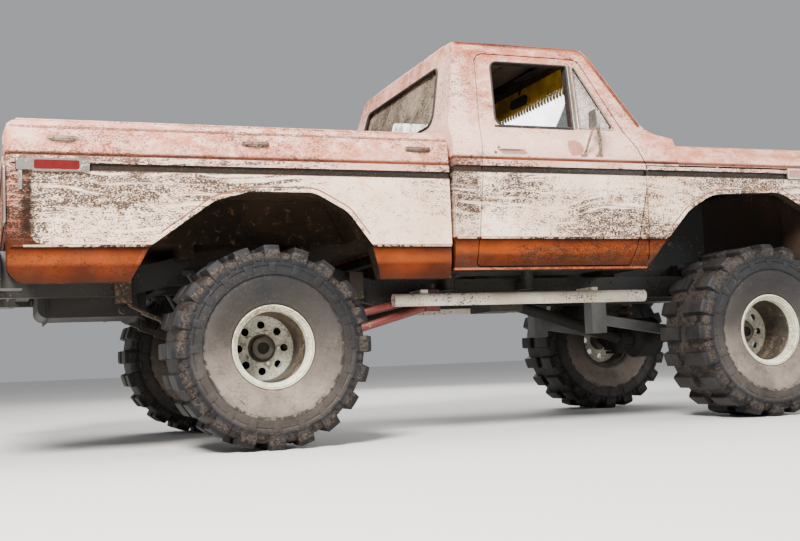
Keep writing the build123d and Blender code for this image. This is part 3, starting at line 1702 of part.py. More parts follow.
# Front coil springs between a seat on the axle and a tower on the rail
coil_pitch = (coil_high_z - coil_low_z) / coil_turns
with BuildPart() as coil_springs:
    for side in (-1.0, 1.0):
        for turn in range(coil_turns):
            turn_low = (front_axle_at, side * coil_y, coil_low_z + turn * coil_pitch)
            turn_high = (front_axle_at, side * coil_y, turn_low[2] + coil_wire)
            turn_next = (front_axle_at, side * coil_y, turn_low[2] + coil_pitch)
            add(plain_rod(turn_low, turn_high, coil_radius, coil_sides))
            add(plain_rod(turn_high, turn_next, coil_radius - coil_wire, coil_sides))
        seat_low = (front_axle_at, side * coil_y, -axle_drop)
        add(plain_rod(seat_low, (front_axle_at, side * coil_y, coil_low_z), coil_radius + panel_gap))
        add(
            box_between(
                (front_axle_at - coil_seat, side * rail_outer, coil_high_z),
                (front_axle_at + coil_seat, side * (coil_y + coil_radius), coil_high_z + coil_seat_thickness),
            )
        )
        add(
            box_between(
                (front_axle_at - coil_seat, side * rail_outer, -coil_seat),
                (front_axle_at + coil_seat, side * (rail_outer + panel_gap), coil_high_z),
            )
        )
    add(frame.part, mode=Mode.SUBTRACT)
    add(front_axle.part, mode=Mode.SUBTRACT)
coil_springs.part.label = "coil_springs"
export_step(coil_springs.part, "parts/coil_springs.step")

# Radius arms from the front axle back to drop brackets under the rails
arm_rows = [
    (arm_rear_x, arm_rear_z - arm_height / 2.0),
    (arm_rear_x, arm_rear_z + arm_height / 2.0),
    (front_axle_at, -axle_drop + arm_height / 2.0),
    (front_axle_at, -axle_drop - arm_height / 2.0),
]
with BuildPart() as radius_arms:
    for side in (-1.0, 1.0):
        near = side * arm_y - arm_width / 2.0
        far = side * arm_y + arm_width / 2.0
        add(side_block(arm_rows, near, far))
        add(
            box_between(
                (arm_rear_x - drop_width / 2.0, near - drop_thickness, drop_low_z),
                (arm_rear_x + drop_width / 2.0, far + drop_thickness, rail_end_low_z),
            )
        )
    add(frame.part, mode=Mode.SUBTRACT)
    add(front_axle.part, mode=Mode.SUBTRACT)
    add(driveshafts.part, mode=Mode.SUBTRACT)
radius_arms.part.label = "radius_arms"
export_step(radius_arms.part, "parts/radius_arms.step")

# Traction bars from the rear axle forward to the rails
bar_low_front_z = bar_front_z - bar_front_spacing
with BuildPart() as traction_bars:
    for side in (-1.0, 1.0):
        bar_end = side * bar_y
        bracket_end_y = side * (bar_y + bar_bracket_out)
        add(rod_between((bar_rear_x, bar_end, bar_upper_z), (bar_front_x, bar_end, bar_front_z), bar_radius))
        lower_end = (bar_front_x, bar_end, bar_low_front_z)
        add(rod_between((bar_rear_x, bar_end, bar_lower_z), lower_end, bar_radius))
        add(
            box_between(
                (bar_plate_rear_x, bar_end - bar_plate / 2.0, bar_lower_z - bar_radius),
                (bar_rear_x + bar_radius, bar_end + bar_plate / 2.0, bar_upper_z + bar_radius),
            )
        )
        add(
            box_between(
                (bar_front_x - bar_bracket_half, side * rail_outer, bar_low_front_z - bar_bracket_height),
                (bar_front_x + bar_bracket_half, bracket_end_y, bar_front_z + bar_bracket_height),
            )
        )
    add(rear_axle.part, mode=Mode.SUBTRACT)
    add(frame.part, mode=Mode.SUBTRACT)
traction_bars.part.label = "traction_bars"
export_step(traction_bars.part, "parts/traction_bars.step")

# Side pipes with hangers to the rails
with BuildPart() as side_pipes:
    for side in (-1.0, 1.0):
        pipe_end_y = side * pipe_y
        pipe_rear = (pipe_rear_x, pipe_end_y, pipe_z)
        add(rod_between(pipe_rear, (pipe_front_x, pipe_end_y, pipe_z), pipe_radius))
        for hanger in pipe_hanger_x:
            add(
                box_between(
                    (hanger - pipe_hanger_half, side * rail_outer, pipe_z),
                    (hanger + pipe_hanger_half, pipe_end_y, pipe_hanger_top_z),
                )
            )
        bore_start = (pipe_rear_x - past, pipe_end_y, pipe_z)
        bore_end = (pipe_rear_x + pipe_bore_length, pipe_end_y, pipe_z)
        add(rod_between(bore_start, bore_end, pipe_radius - pipe_wall), mode=Mode.SUBTRACT)
    add(traction_bars.part, mode=Mode.SUBTRACT)
side_pipes.part.label = "side_pipes"
export_step(side_pipes.part, "parts/side_pipes.step")

# Shock absorbers: end, then X, Y and Z of the low eye and of the high one
shock_table = (
    ("rear", -60.0, 520.0, -380.0, -300.0, 450.0, 40.0),
    ("front", front_axle_at - 92.0, 520.0, -380.0, front_axle_at - 172.0, 460.0, -60.0),
)
with BuildPart() as shocks:
    for end, low_x, low_y, low_z, high_x, high_y, high_z in shock_table:
        for side in (-1.0, 1.0):
            low_eye = (low_x, side * low_y, low_z)
            high_eye = (high_x, side * high_y, high_z)
            middle = tuple((a + b) / 2.0 for a, b in zip(low_eye, high_eye))
            add(plain_rod(low_eye, middle, shock_radius))
            add(plain_rod(middle, high_eye, shock_rod))
            add(
                box_between(
                    (high_x - shock_radius, side * rail_outer, high_z - shock_rod),
                    (high_x + shock_radius, side * (high_y + shock_radius), high_z + shock_rod),
                )
            )
    add(frame.part, mode=Mode.SUBTRACT)
    add(rear_axle.part, mode=Mode.SUBTRACT)
    add(front_axle.part, mode=Mode.SUBTRACT)
    add(leaf_springs.part, mode=Mode.SUBTRACT)
    add(coil_springs.part, mode=Mode.SUBTRACT)
shocks.part.label = "shocks"
export_step(shocks.part, "parts/shocks.step")

# Fuel tank between the rails, hung by straps
tank_rear_x = -rear_reach + tank_on
tank_front_x = tank_rear_x + tank_length
tank_rows = [
    (tank_rear_x, tank_low_z, tank_radius),
    (tank_rear_x, tank_top_z, tank_radius),
    (tank_front_x, tank_top_z, tank_radius),
    (tank_front_x, tank_low_z, tank_radius),
]
with BuildPart() as fuel_tank:
    add(side_block(tank_rows, tank_half, -tank_half))
    for strap in (tank_rear_x + tank_strap, tank_front_x - tank_strap):
        add(
            box_between(
                (strap - tank_strap / 2.0, -rail_inner, tank_strap_z - tank_strap_thickness / 2.0),
                (strap + tank_strap / 2.0, rail_inner, tank_strap_z + tank_strap_thickness / 2.0),
            )
        )
fuel_tank.part.label = "fuel_tank"
export_step(fuel_tank.part, "parts/fuel_tank.step")


# A turned form about the wheel's axle: plane flats between rings of Y and flat radius, one to each pair of lugs
def turned(rows):
    rings = []
    for y, radius in rows:
        corner = Vector(radius / math.cos(math.radians(half_facet)), y, 0)
        rings.append([corner.rotate(Axis.Y, half_facet * (2 * facet + 1)) for facet in range(wheel_facets)])
    faces = [Face(Wire.make_polygon(ring)) for ring in (rings[0], rings[-1])]
    for ring, next_ring in zip(rings, rings[1:]):
        for facet in range(wheel_facets):
            flat = (ring[facet - 1], ring[facet], next_ring[facet], next_ring[facet - 1])
            faces.append(Face(Wire.make_polygon(flat)))
    with BuildPart() as form:
        add(Solid(Shell(faces)))
    return form.part


def both_ends(rows):
    return [(-y, radius) for y, radius in reversed(rows)] + rows


# Tyre: a turned carcass with lugs on its flats, long and short by turns, that run down its shoulders
tyre_bore_radius = bead_seat_radius + seat_gap
lip_pocket_radius = rim_lip_radius + rim_lip_gap
rim_seat_end = rim_lip_half - rim_lip_width
bead_face_y = rim_seat_end - seat_gap
dish_slope = (bulge_radius - lip_pocket_radius) / (tyre_width / 2.0 - bead_face_y)
tyre_end = tyre_width / 2.0 + panel_gap
tyre_rows = [
    (tread_half, carcass_radius),
    (shoulder_half_width, shoulder_foot_radius),
    (tyre_width / 2.0, bulge_radius),
]
with BuildPart() as tyre_form:
    add(turned(both_ends(tyre_rows)))
    for side in (-1.0, 1.0):
        for lug in range(lug_count):
            long_lug = (lug % 2 == 0) == (side > 0.0)
            inner_y = lug_inner_y if long_lug else lug_short_inner_y
            lug_rows = [
                (carcass_radius - lug_sink, side * inner_y),
                (tyre_radius, side * inner_y),
                (tyre_radius, side * lug_tip_half),
                (tyre_radius - lug_shoulder_drop, side * (tyre_width / 2.0 - panel_gap)),
                (shoulder_foot_radius, side * shoulder_half_width),
                (shoulder_foot_radius, side * tread_half),
            ]
            angle = 360.0 / lug_count * lug
            radial = Plane(origin=(0, 0, 0), x_dir=(0, 0, -1), z_dir=(1, 0, 0))
            lug_block = block_on(radial.offset(-lug_width / 2.0), lug_rows, lug_width)
            add(lug_block.rotate(Axis.Y, angle))
    for side in (-1.0, 1.0):
        dish = [
            (side * bead_face_y, lip_pocket_radius),
            (side * tyre_end, lip_pocket_radius + (tyre_end - bead_face_y) * dish_slope),
        ]
        add(turned(dish), mode=Mode.SUBTRACT)
    add(turned([(-tyre_end, tyre_bore_radius), (tyre_end, tyre_bore_radius)]), mode=Mode.SUBTRACT)

# Rim: lips, bead seats and a drop centre, with a deep-dished disc and hub
rim_well_radius = rim_barrel_radius + rim_wall
seat_end = rim_seat_end - rim_seat_length
well_end = rim_lip_half - rim_well_length
rim_rows = [(well_end, rim_well_radius), (seat_end, bead_seat_radius), (rim_seat_end, bead_seat_radius)]
barrel_rows = [
    (well_end, rim_barrel_radius),
    (seat_end, bead_seat_radius - rim_wall),
    (rim_lip_half + panel_gap, bead_seat_radius - rim_wall),
]
with BuildPart() as rim_form:
    add(turned(both_ends(rim_rows)))
    for side in (-1.0, 1.0):
        add(turned([(side * rim_seat_end, rim_lip_radius), (side * rim_lip_half, rim_lip_radius)]))
    add(turned(both_ends(barrel_rows)), mode=Mode.SUBTRACT)
    disc_low = disc_y - disc_thickness / 2.0
    disc_high = disc_y + disc_thickness / 2.0
    add(turned([(disc_low, rim_well_radius), (disc_high, rim_well_radius)]))
    add(turned([(disc_y - hub_length / 2.0, hub_radius), (disc_y + hub_length / 2.0, hub_radius)]))
    with BuildSketch(Plane.XZ.offset(-disc_y - disc_thickness)):
        with PolarLocations(wheel_hole_circle, wheel_hole_count):
            RegularPolygon(wheel_hole_radius, wheel_hole_sides)
    extrude(amount=disc_thickness * 2.0, mode=Mode.SUBTRACT)
    with BuildSketch(Plane.XZ.offset(rim_lip_half)):
        Circle(spindle_radius + running_gap)
    extrude(amount=-rim_lip_half * 2.0, mode=Mode.SUBTRACT)

# The four wheels: name, X and side; the form's dish faces +Y, so right wheels are turned round.
wheel_table = (
    ("front_right", front_axle_at, -1.0),
    ("front_left", front_axle_at, 1.0),
    ("rear_right", 0.0, -1.0),
    ("rear_left", 0.0, 1.0),
)
for place, wheel_at, side in wheel_table:
    spin = 0.0 if side > 0.0 else 180.0
    hub_place = Location(station(wheel_at, side * tyre_track_half, -axle_drop))
    hub_at = hub_place * Location((0, 0, 0), (0, 0, spin))
    with BuildPart() as tyre:
        with Locations(hub_at):
            add(tyre_form.part)
    tyre.part.label = "tyre_" + place
    export_step(tyre.part, "parts/tyre_" + place + ".step")
    with BuildPart() as rim:
        with Locations(hub_at):
            add(rim_form.part)
    rim.part.label = "rim_" + place
    export_step(rim.part, "parts/rim_" + place + ".step")
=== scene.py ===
import bpy
import bmesh
import json
from math import cos, exp, hypot, radians, sin, sqrt, tan, tau
from mathutils import Matrix, Vector
from mathutils.geometry import delaunay_2d_cdt


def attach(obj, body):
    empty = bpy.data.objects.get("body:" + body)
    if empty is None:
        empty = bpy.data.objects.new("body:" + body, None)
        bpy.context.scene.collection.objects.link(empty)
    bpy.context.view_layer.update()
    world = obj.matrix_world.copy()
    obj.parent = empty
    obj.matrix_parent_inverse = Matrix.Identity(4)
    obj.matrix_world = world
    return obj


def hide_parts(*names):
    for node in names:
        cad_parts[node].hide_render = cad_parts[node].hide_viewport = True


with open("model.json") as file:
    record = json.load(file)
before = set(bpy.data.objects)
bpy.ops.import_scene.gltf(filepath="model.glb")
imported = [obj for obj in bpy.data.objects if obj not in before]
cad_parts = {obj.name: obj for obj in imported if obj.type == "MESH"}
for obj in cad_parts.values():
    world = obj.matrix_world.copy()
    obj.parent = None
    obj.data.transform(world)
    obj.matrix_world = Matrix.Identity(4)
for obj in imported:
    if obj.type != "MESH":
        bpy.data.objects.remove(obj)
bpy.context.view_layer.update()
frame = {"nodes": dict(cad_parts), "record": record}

# --- Places in millimetres: forward of the rear axle, left of the middle, above the rockers' lower edge.
# STATION turns them into the frame's metres.
REAR_AXLE_X = -1.1925
ROCKER_Z = 0.8815
STATION = Matrix.Translation((REAR_AXLE_X, 0, ROCKER_Z)) @ Matrix.Scale(0.001, 4)
AXLE_DROP = 380
BED_DROP = 42
FRONT_AXLE = 2972
TRACK_HALF = 911
SIDES = ((-1, "right"), (1, "left"))
OUTWARD = (0, 1, 0)
NODE_BODY = {n: b for b, ns in frame["record"]["behaviour"]["bodies"].items() for n in ns}


def side_y(z):
    """Half width of the cab and body side at a height."""
    rows = ((0, 960), (80, 985), (160, 990), (167, 1004), (176, 1000), (528, 1000), (534, 992), (560, 992),
            (566, 1004), (598, 1004), (604, 994), (612, 998), (690, 990), (800, 935), (1268, 785), (1318, 748))
    for (z0, y0), (z1, y1) in zip(rows, rows[1:]):
        if z <= z1:
            return y0 + (y1 - y0) * (z - z0) / (z1 - z0)
    return rows[-1][1]


def mirror(side):
    """Turns a left-hand form into the form of a side."""
    return Matrix.Scale(side, 4, (0, 1, 0))


def circle(radius, count, u=0, v=0):
    """Points round a centre."""
    turns = [tau * k / count for k in range(count)]
    return [(u + radius * cos(a), v + radius * sin(a)) for a in turns]


def rounded(rows, closed=True, steps=5):
    """Corners (u, v, radius) to a list of points with the corners turned as arcs."""
    points = []
    count = len(rows)
    for i, row in enumerate(rows):
        here = Vector(row[:2])
        radius = row[2] if len(row) > 2 else 0
        if radius <= 0 or (not closed and i in (0, count - 1)):
            points.append(here)
            continue
        back = (Vector(rows[i - 1][:2]) - here).normalized()
        on = (Vector(rows[(i + 1) % count][:2]) - here).normalized()
        half = back.angle(on) / 2
        run = radius / tan(half)
        middle = here + (back + on).normalized() * (radius / sin(half))
        first = here + back * run - middle
        sweep = first.angle_signed(here + on * run - middle)
        points += [middle + Matrix.Rotation(-sweep * k / steps, 2) @ first for k in range(steps + 1)]
    return points


def oblong(u0, u1, v0, v1, radius, steps=5):
    return rounded(((u0, v0, radius), (u1, v0, radius), (u1, v1, radius), (u0, v1, radius)), steps=steps)


def standing(x, outline):
    """A flat outline of (y, z) stood up at a station."""
    return [(x, p.x, p.y) for p in outline]


# --- Forms: each piece's mesh is built here in millimetres
class Form:
    """The corners and faces of one piece."""

    def __init__(self):
        self.bm = bmesh.new()

    def loft(self, rings, closed=True, caps=True, joined=False):
        """Faces between rings of points; joined brings the last ring back to the first."""
        rows = [[self.bm.verts.new(p) for p in ring] for ring in rings]
        rows += rows[:1] if joined else []
        count = len(rows[0])
        for a, b in zip(rows, rows[1:]):
            for i in range(count if closed else count - 1):
                j = (i + 1) % count
                self.bm.faces.new((a[i], a[j], b[j], b[i]))
        if caps and closed and not joined:
            self.bm.faces.new(list(reversed(rows[0])))
            self.bm.faces.new(rows[-1])
        return self

    def box(self, low, high):
        (x0, y0, z0), (x1, y1, z1) = low, high
        return self.loft([[(x0, y0, z), (x1, y0, z), (x1, y1, z), (x0, y1, z)] for z in (z0, z1)])

    def side_plate(self, outline, y0, y1):
        """A flat outline of (x, z) between two half widths."""
        return self.loft([[(p[0], y, p[1]) for p in outline] for y in (y0, y1)])

    def cross_plate(self, outline, x0, x1):
        """A flat outline of (y, z) between two stations."""
        return self.loft([[(x, p[0], p[1]) for p in outline] for x in (x0, x1)])

    def frame_plate(self, outer, inner, y0, y1):
        """A frame between two outlines of (x, z) with the same number of points, open at its back."""
        pairs = ((outer, y0), (outer, y1), (inner, y1), (inner, y0))
        return self.loft([[(p[0], y, p[1]) for p in ring] for ring, y in pairs], caps=False)

    def turned(self, rows, centre=(0, 0, 0), sides=48, axis="Y", closed=False):
        """Rows of (along, radius) turned round an axis; a radius of 0 closes a pole."""
        def at(along, u, v):
            local = {"Y": (u, along, v), "X": (along, u, v), "Z": (u, v, along)}[axis]
            return self.bm.verts.new(Vector(centre) + Vector(local))
        rings = [[at(along, u, v) for u, v in circle(radius, 1 if radius < 1e-6 else sides)] for along,
                 radius in rows]
        for a, b in zip(rings, rings[1:] + (rings[:1] if closed else [])):
            for k in range(sides):
                n = (k + 1) % sides
                corner = [a[k % len(a)], a[n % len(a)], b[n % len(b)], b[k % len(b)]]
                kept = [c for i, c in enumerate(corner) if c not in corner[:i]]
                if len(kept) > 2:
                    self.bm.faces.new(kept)
        return self

    def tube(self, path, radius, sides=12, closed=False):
        """A round bar along a path of points."""
        return self.sweep(path, circle(radius, sides), closed)

    def sweep(self, path, profile, closed=False, up=None):
        """A profile of (across, up) carried along a path of points."""
        path = [Vector(p) for p in path]
        count = len(path)
        rings = []
        last = Vector(up) if up else None
        for i, here in enumerate(path):
            before = path[i - 1] if (i or closed) else here
            after = path[(i + 1) % count] if (i < count - 1 or closed) else here
            a, b = (here - before), (after - here)
            run = (a.normalized() + b.normalized()).normalized()
            if last is None:
                last = Vector((0, 0, 1)) if abs(run.z) < 0.9 else Vector((1, 0, 0))
            lift = Vector(up) if up else last
            lift = (lift - run * lift.dot(run)).normalized()
            across = run.cross(lift)
            stretch = 1
            if a.length > 1e-9 and b.length > 1e-9:
                stretch = 1 / max(0.5, cos(a.angle(b) / 2))
            last = lift
            rings.append([here + across * (u * stretch) + lift * v for u, v in profile])
        return self.loft(rings, joined=closed)

    def add(self, mesh, matrix=Matrix.Identity(4)):
        """Takes in a finished mesh."""
        mesh.transform(matrix)
        self.bm.from_mesh(mesh)
        bpy.data.meshes.remove(mesh)
        return self

    def moved(self, matrix):
        bmesh.ops.transform(self.bm, matrix=matrix, verts=self.bm.verts)
        return self

    def both_sides(self):
        """Adds the mirror image across the middle."""
        parts = bmesh.ops.duplicate(self.bm, geom=self.bm.verts[:] + self.bm.edges[:] + self.bm.faces[:])["geom"]
        new_verts = [g for g in parts if isinstance(g, bmesh.types.BMVert)]
        new_faces = [g for g in parts if isinstance(g, bmesh.types.BMFace)]
        bmesh.ops.transform(self.bm, matrix=mirror(-1), verts=new_verts)
        bmesh.ops.reverse_faces(self.bm, faces=new_faces)
        return self

    def mesh(self, name):
        bmesh.ops.recalc_face_normals(self.bm, faces=self.bm.faces)
        result = bpy.data.meshes.new(name)
        self.bm.to_mesh(result)
        self.bm.free()
        return result


def placed(name, data):
    """A new object in the scene."""
    thing = bpy.data.objects.new(name, data)
    bpy.context.scene.collection.objects.link(thing)
    return thing


def eased(piece, width, segments, limit):
    """Gives an object's edges a bevel; its width is in millimetres."""
    ease = piece.modifiers.new("Eased edges", "BEVEL")
    ease.width = width / 1000
    ease.segments = segments
    ease.limit_method = "ANGLE"
    ease.angle_limit = radians(limit)
    return ease


def baked(holder, name):
    """A holder's mesh with what its modifiers make of it, as a plain mesh."""
    seen = bpy.context.evaluated_depsgraph_get()
    result = bpy.data.meshes.new_from_object(holder.evaluated_get(seen))
    result.name = name
    holder.modifiers.clear()
    return result


def shown(name, mesh, body, finish, smooth=35, bevel=0, segments=2, limit=40, replaces=()):
    """Puts a finished mesh in the scene on its body, with its finish and eased edges."""
    material, slot_name = finish
    piece = placed(name, mesh)
    mesh.materials.clear()
    mesh.materials.append(material)
    mesh.shade_smooth()
    mesh.set_sharp_from_angle(angle=radians(smooth))
    if bevel:
        eased(piece, bevel, segments, limit).harden_normals = True
    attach(piece, body)
    if replaces:
        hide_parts(*replaces)
    return piece


def made(form, name, finish, body="chassis", **look):
    """Closes a form in millimetres and shows it."""
    return shown(name, form.moved(STATION).mesh(name), body, finish, **look)


def eased_copy(node, finish, bevel):
    """A solid's own shape with its doubles merged, its flats joined and its edges eased."""
    form = Form()
    form.bm.from_mesh(frame["nodes"][node].data)
    bmesh.ops.remove_doubles(form.bm, verts=form.bm.verts, dist=0.00002)
    bmesh.ops.dissolve_limit(form.bm, angle_limit=radians(0.3), verts=form.bm.verts, edges=form.bm.edges)
    name = node + "_panel"
    shown(name, form.mesh(name), NODE_BODY[node], finish, smooth=32, bevel=bevel, limit=35, replaces=(node,))


# --- Node trees: Geometry Nodes for what repeats or winds, shader groups for what lies on every finish
def tint(code):
    """A colour written as in print, to linear light."""
    parts = [int(code[i:i + 2], 16) / 255 for i in (0, 2, 4)]
    return (*[p / 12.92 if p <= 0.04045 else ((p + 0.055) / 1.055) ** 2.4 for p in parts], 1)


class Signal:
    """A node's output that is reckoned with like a number; each sum adds a Math node."""

    def __init__(self, n, socket):
        self.n, self.socket = n, socket

    def __add__(self, other):
        return self.n.calc("ADD", self, other)

    def __radd__(self, other):
        return self.n.calc("ADD", other, self)

    def __sub__(self, other):
        return self.n.calc("SUBTRACT", self, other)

    def __rsub__(self, other):
        return self.n.calc("SUBTRACT", other, self)

    def __mul__(self, other):
        return self.n.calc("MULTIPLY", self, other)

    def __rmul__(self, other):
        return self.n.calc("MULTIPLY", other, self)

    def __truediv__(self, other):
        return self.n.calc("DIVIDE", self, other)

    def __pow__(self, other):
        return self.n.calc("POWER", self, other)

    def __gt__(self, other):
        return self.n.calc("GREATER_THAN", self, other)

    def __lt__(self, other):
        return self.n.calc("LESS_THAN", self, other)

    def __abs__(self):
        return self.n.calc("ABSOLUTE", self)

    def at_least(self, other):
        return self.n.calc("MAXIMUM", self, other)

    def ramp(self, low, high, out_low=0.0, out_high=1.0):
        """Eases from one value at low to another at high."""
        values = {"Value": self, "From Min": low, "From Max": high, "To Min": out_low, "To Max": out_high}
        return self.n.out("ShaderNodeMapRange", values, "Result", interpolation_type="SMOOTHSTEP")

    def band(self, rise, full, fade, end):
        """Comes up from rise to full and goes down again from fade to end."""
        return self.ramp(rise, full) * self.ramp(end, fade)


class Nodes:
    """Adds nodes to a tree and joins them as they come."""

    def __init__(self, tree, position=None):
        self.tree, self.position = tree, position

    def put(self, kind, values=(), **settings):
        """A node; each value is a signal to join, a number, or a colour as a printed code."""
        node = self.tree.nodes.new(kind)
        for key, value in settings.items():
            setattr(node, key, value)
        for key, value in dict(values).items():
            if isinstance(value, Signal):
                self.tree.links.new(value.socket, node.inputs[key])
            else:
                node.inputs[key].default_value = tint(value) if isinstance(value, str) else value
        return node

    def out(self, kind, values=(), key=0, **settings):
        return Signal(self, self.put(kind, values, **settings).outputs[key])

    def calc(self, operation, a, b=0.5, clamp=False):
        return self.out("ShaderNodeMath", {0: a, 1: b}, operation=operation, use_clamp=clamp)

    def mix(self, factor, a, b):
        return self.out("ShaderNodeMix", {0: factor, 6: a, 7: b}, 2, data_type="RGBA")

    def blend(self, factor, a, b):
        return self.out("ShaderNodeMix", {0: factor, 2: a, 3: b}, data_type="FLOAT")

    def noise(self, scale, detail=3, rough=0.55, twist=0, at=None):
        values = {"Vector": at or self.position, "Scale": scale, "Detail": detail, "Roughness": rough,
                  "Distortion": twist}
        return self.out("ShaderNodeTexNoise", values)

    def edges(self, scale, at):
        """How far it is to the nearest border between cells."""
        values = {"Vector": at, "Scale": scale}
        return self.out("ShaderNodeTexVoronoi", values, "Distance", feature="DISTANCE_TO_EDGE")

    def scaled(self, *scale):
        return self.out("ShaderNodeMapping", {"Vector": self.position, "Scale": scale})

    def parts(self, vector=None):
        """A vector's three parts; the position's when no other is given."""
        return [Signal(self, o) for o in self.put("ShaderNodeSeparateXYZ", {0: vector or self.position}).outputs]

    def normal(self):
        return self.parts(self.out("ShaderNodeTexCoord", key="Normal"))

    def attribute(self, name):
        return self.out("ShaderNodeAttribute", key="Fac", attribute_name=name)

    def named(self, node):
        return {o.name: Signal(self, o) for o in node.outputs}

    def use(self, group, **values):
        """A shared effect at the piece's own position."""
        return self.named(self.put("ShaderNodeGroup", {"Position": self.position, **values}, node_tree=group))


def node_group(kind, name, inputs, outputs, build):
    """A shared tree with named inputs and outputs, and the keys of its inputs."""
    tree = bpy.data.node_groups.new(name, kind)
    keys = {}
    for label, socket_kind, *value in inputs:
        socket = tree.interface.new_socket(label, in_out="INPUT", socket_type="NodeSocket" + socket_kind)
        keys[label] = socket.identifier
        if value:
            socket.default_value = value[0]
    for label, socket_kind in outputs:
        tree.interface.new_socket(label, in_out="OUTPUT", socket_type="NodeSocket" + socket_kind)
    n = Nodes(tree)
    start = n.named(tree.nodes.new("NodeGroupInput"))
    n.position = start.get("Position")
    results = build(n, start)
    end = tree.nodes.new("NodeGroupOutput")
    for label, signal in results.items():
        tree.links.new(signal.socket, end.inputs[label])
    return tree, keys


def repeated_piece(n, s):
    """Each copy is moved on by Step and turned on by Turn round the Y axis."""
    line = n.out("GeometryNodeMeshLine", {"Count": s["Count"], "Offset": s["Step"]}, "Mesh")
    index = n.out("GeometryNodeInputIndex")
    turn = n.out("ShaderNodeMath", {0: index, 1: s["Turn"], 2: s["First turn"]}, operation="MULTIPLY_ADD")
    angles = n.out("ShaderNodeCombineXYZ", {"Y": turn})
    copies = n.out("GeometryNodeInstanceOnPoints", {"Points": line, "Instance": s["Piece"], "Rotation": angles})
    return {"Geometry": n.out("GeometryNodeRealizeInstances", {"Geometry": copies})}


def wound_spring(n, s):
    """Round wire wound as a spring up the Z axis."""
    spiral = {"Resolution": 28, "Rotations": s["Turns"], "Start Radius": s["Radius"], "End Radius": s["Radius"],
              "Height": s["Height"]}
    curve = n.out("GeometryNodeCurveSpiral", spiral, "Curve")
    ring = n.out("GeometryNodeCurvePrimitiveCircle", {"Resolution": 12, "Radius": s["Wire"]}, "Curve")
    wire = n.out("GeometryNodeCurveToMesh", {"Curve": curve, "Profile Curve": ring, "Fill Caps": True}, "Mesh")
    return {"Geometry": wire}


GEOMETRY = (("Geometry", "Geometry"),)
REPEAT = node_group(
    "GeometryNodeTree", "Repeated piece",
    (("Piece", "Geometry"), ("Count", "Int"), ("Step", "Vector"), ("First turn", "Float"), ("Turn", "Float")),
    GEOMETRY, repeated_piece)
COIL = node_group("GeometryNodeTree", "Wound spring", (
    ("Piece", "Geometry"), ("Turns", "Float"), ("Radius", "Float"), ("Height", "Float"), ("Wire", "Float")), GEOMETRY,
    wound_spring)


def from_nodes(group, source, values):
    """Runs a Geometry Nodes tree on a mesh and gives the result as a plain mesh."""
    tree, keys = group
    holder = placed("holder", source)
    layer = holder.modifiers.new("Nodes", "NODES")
    layer.node_group = tree
    for label, value in values.items():
        layer[keys[label]] = value
    result = baked(holder, "from_nodes")
    bpy.data.objects.remove(holder)
    return result


def repeated(form, count, step=(0, 0, 0), turn=0, first=0):
    values = {"Count": count, "Step": [float(v) for v in step], "Turn": float(turn), "First turn": float(first)}
    return from_nodes(REPEAT, form.mesh("repeated"), values)


def round_axle(form, count, first=0):
    return repeated(form, count, turn=tau / count, first=first)


def wound(**sizes):
    return from_nodes(COIL, bpy.data.meshes.new("wound"), {k.capitalize(): float(v) for k, v in sizes.items()})


def hex_head(radius, height):
    """A bolt's head along Y, with its top chamfered."""
    rings = ((0, radius), (height * 0.75, radius), (height, radius * 0.8))
    return Form().loft([[(u, y, v) for u, v in circle(r, 6)] for y, r in rings])


def mud_specks(n, s):
    """Flung mud: fine specks, thicker in patches."""
    patches = n.noise(2.3, 2).ramp(0.35, 0.65)
    fine = n.noise(s["Scale"], 4, 0.75)
    coarse = n.noise(s["Scale"] * 0.24, 3, 0.6, 0.4)
    grit = n.blend(0.26, fine, coarse)
    limit = 0.7 - s["Amount"] * n.blend(0.5, patches, 1)
    limit = limit.at_least(0.465)
    mask = grit.ramp(limit - 0.03, limit + 0.03)
    return {"Mask": mask, "Height": mask * grit}


def wiped_strokes(n, s):
    """Long wipe marks that run with the body, a little curved, where the mud was rubbed off."""
    bent = n.noise(1.1, 2)
    xyz = n.parts()
    lifted = xyz[2] + bent * 0.3
    run = n.out("ShaderNodeCombineXYZ", {0: xyz[0] * 1.3, 1: xyz[1], 2: lifted * 42})
    lines = n.noise(1, 3, 0.6, at=run)
    broken = n.noise(4.5, 2, at=n.scaled(1, 1, 3)).ramp(0.36, 0.5)
    return {"Mask": lines.ramp(0.52, 0.59) * broken}


def settled_dust(n, s):
    """Dust that lies on what faces up, and thickens towards the ground."""
    up = n.normal()[2]
    height = n.parts()[2]
    low = height.ramp(1.15, 0.15)
    cloud = n.noise(5, 4, 0.65).ramp(0.32, 0.72)
    lying = up.ramp(0.15, 0.95)
    total = low * 0.55 + lying * 0.8
    total = n.calc("MULTIPLY", total * n.blend(0.6, 1, cloud), s["Amount"], clamp=True)
    return {"Mask": total}


def rust_bloom(n, s):
    """Rust in scabs with a ragged rim."""
    big = n.noise(s["Scale"], 5, 0.7, 0.3)
    limit = 0.78 - s["Amount"] * 0.45
    mask = big.ramp(limit, limit + 0.07)
    shade = n.noise(s["Scale"] * 5, 3)
    return {"Mask": mask, "Shade": shade}


def surface_grain(n, s):
    """Fine relief: the grain of paint, rubber or cast iron, with shallow waves under it."""
    fine = n.noise(s["Scale"], 2)
    waves = n.noise(s["Scale"] * 0.03, 2)
    return {"Height": fine * 0.35 + waves * s["Waves"]}


def effect(name, build, outputs, *inputs):
    """A shader group that takes a position and some amounts."""
    inputs = (("Position", "Vector"), *[(label, "Float", start) for label, start in inputs])
    return node_group("ShaderNodeTree", name, inputs, [(label, "Float") for label in outputs], build)[0]


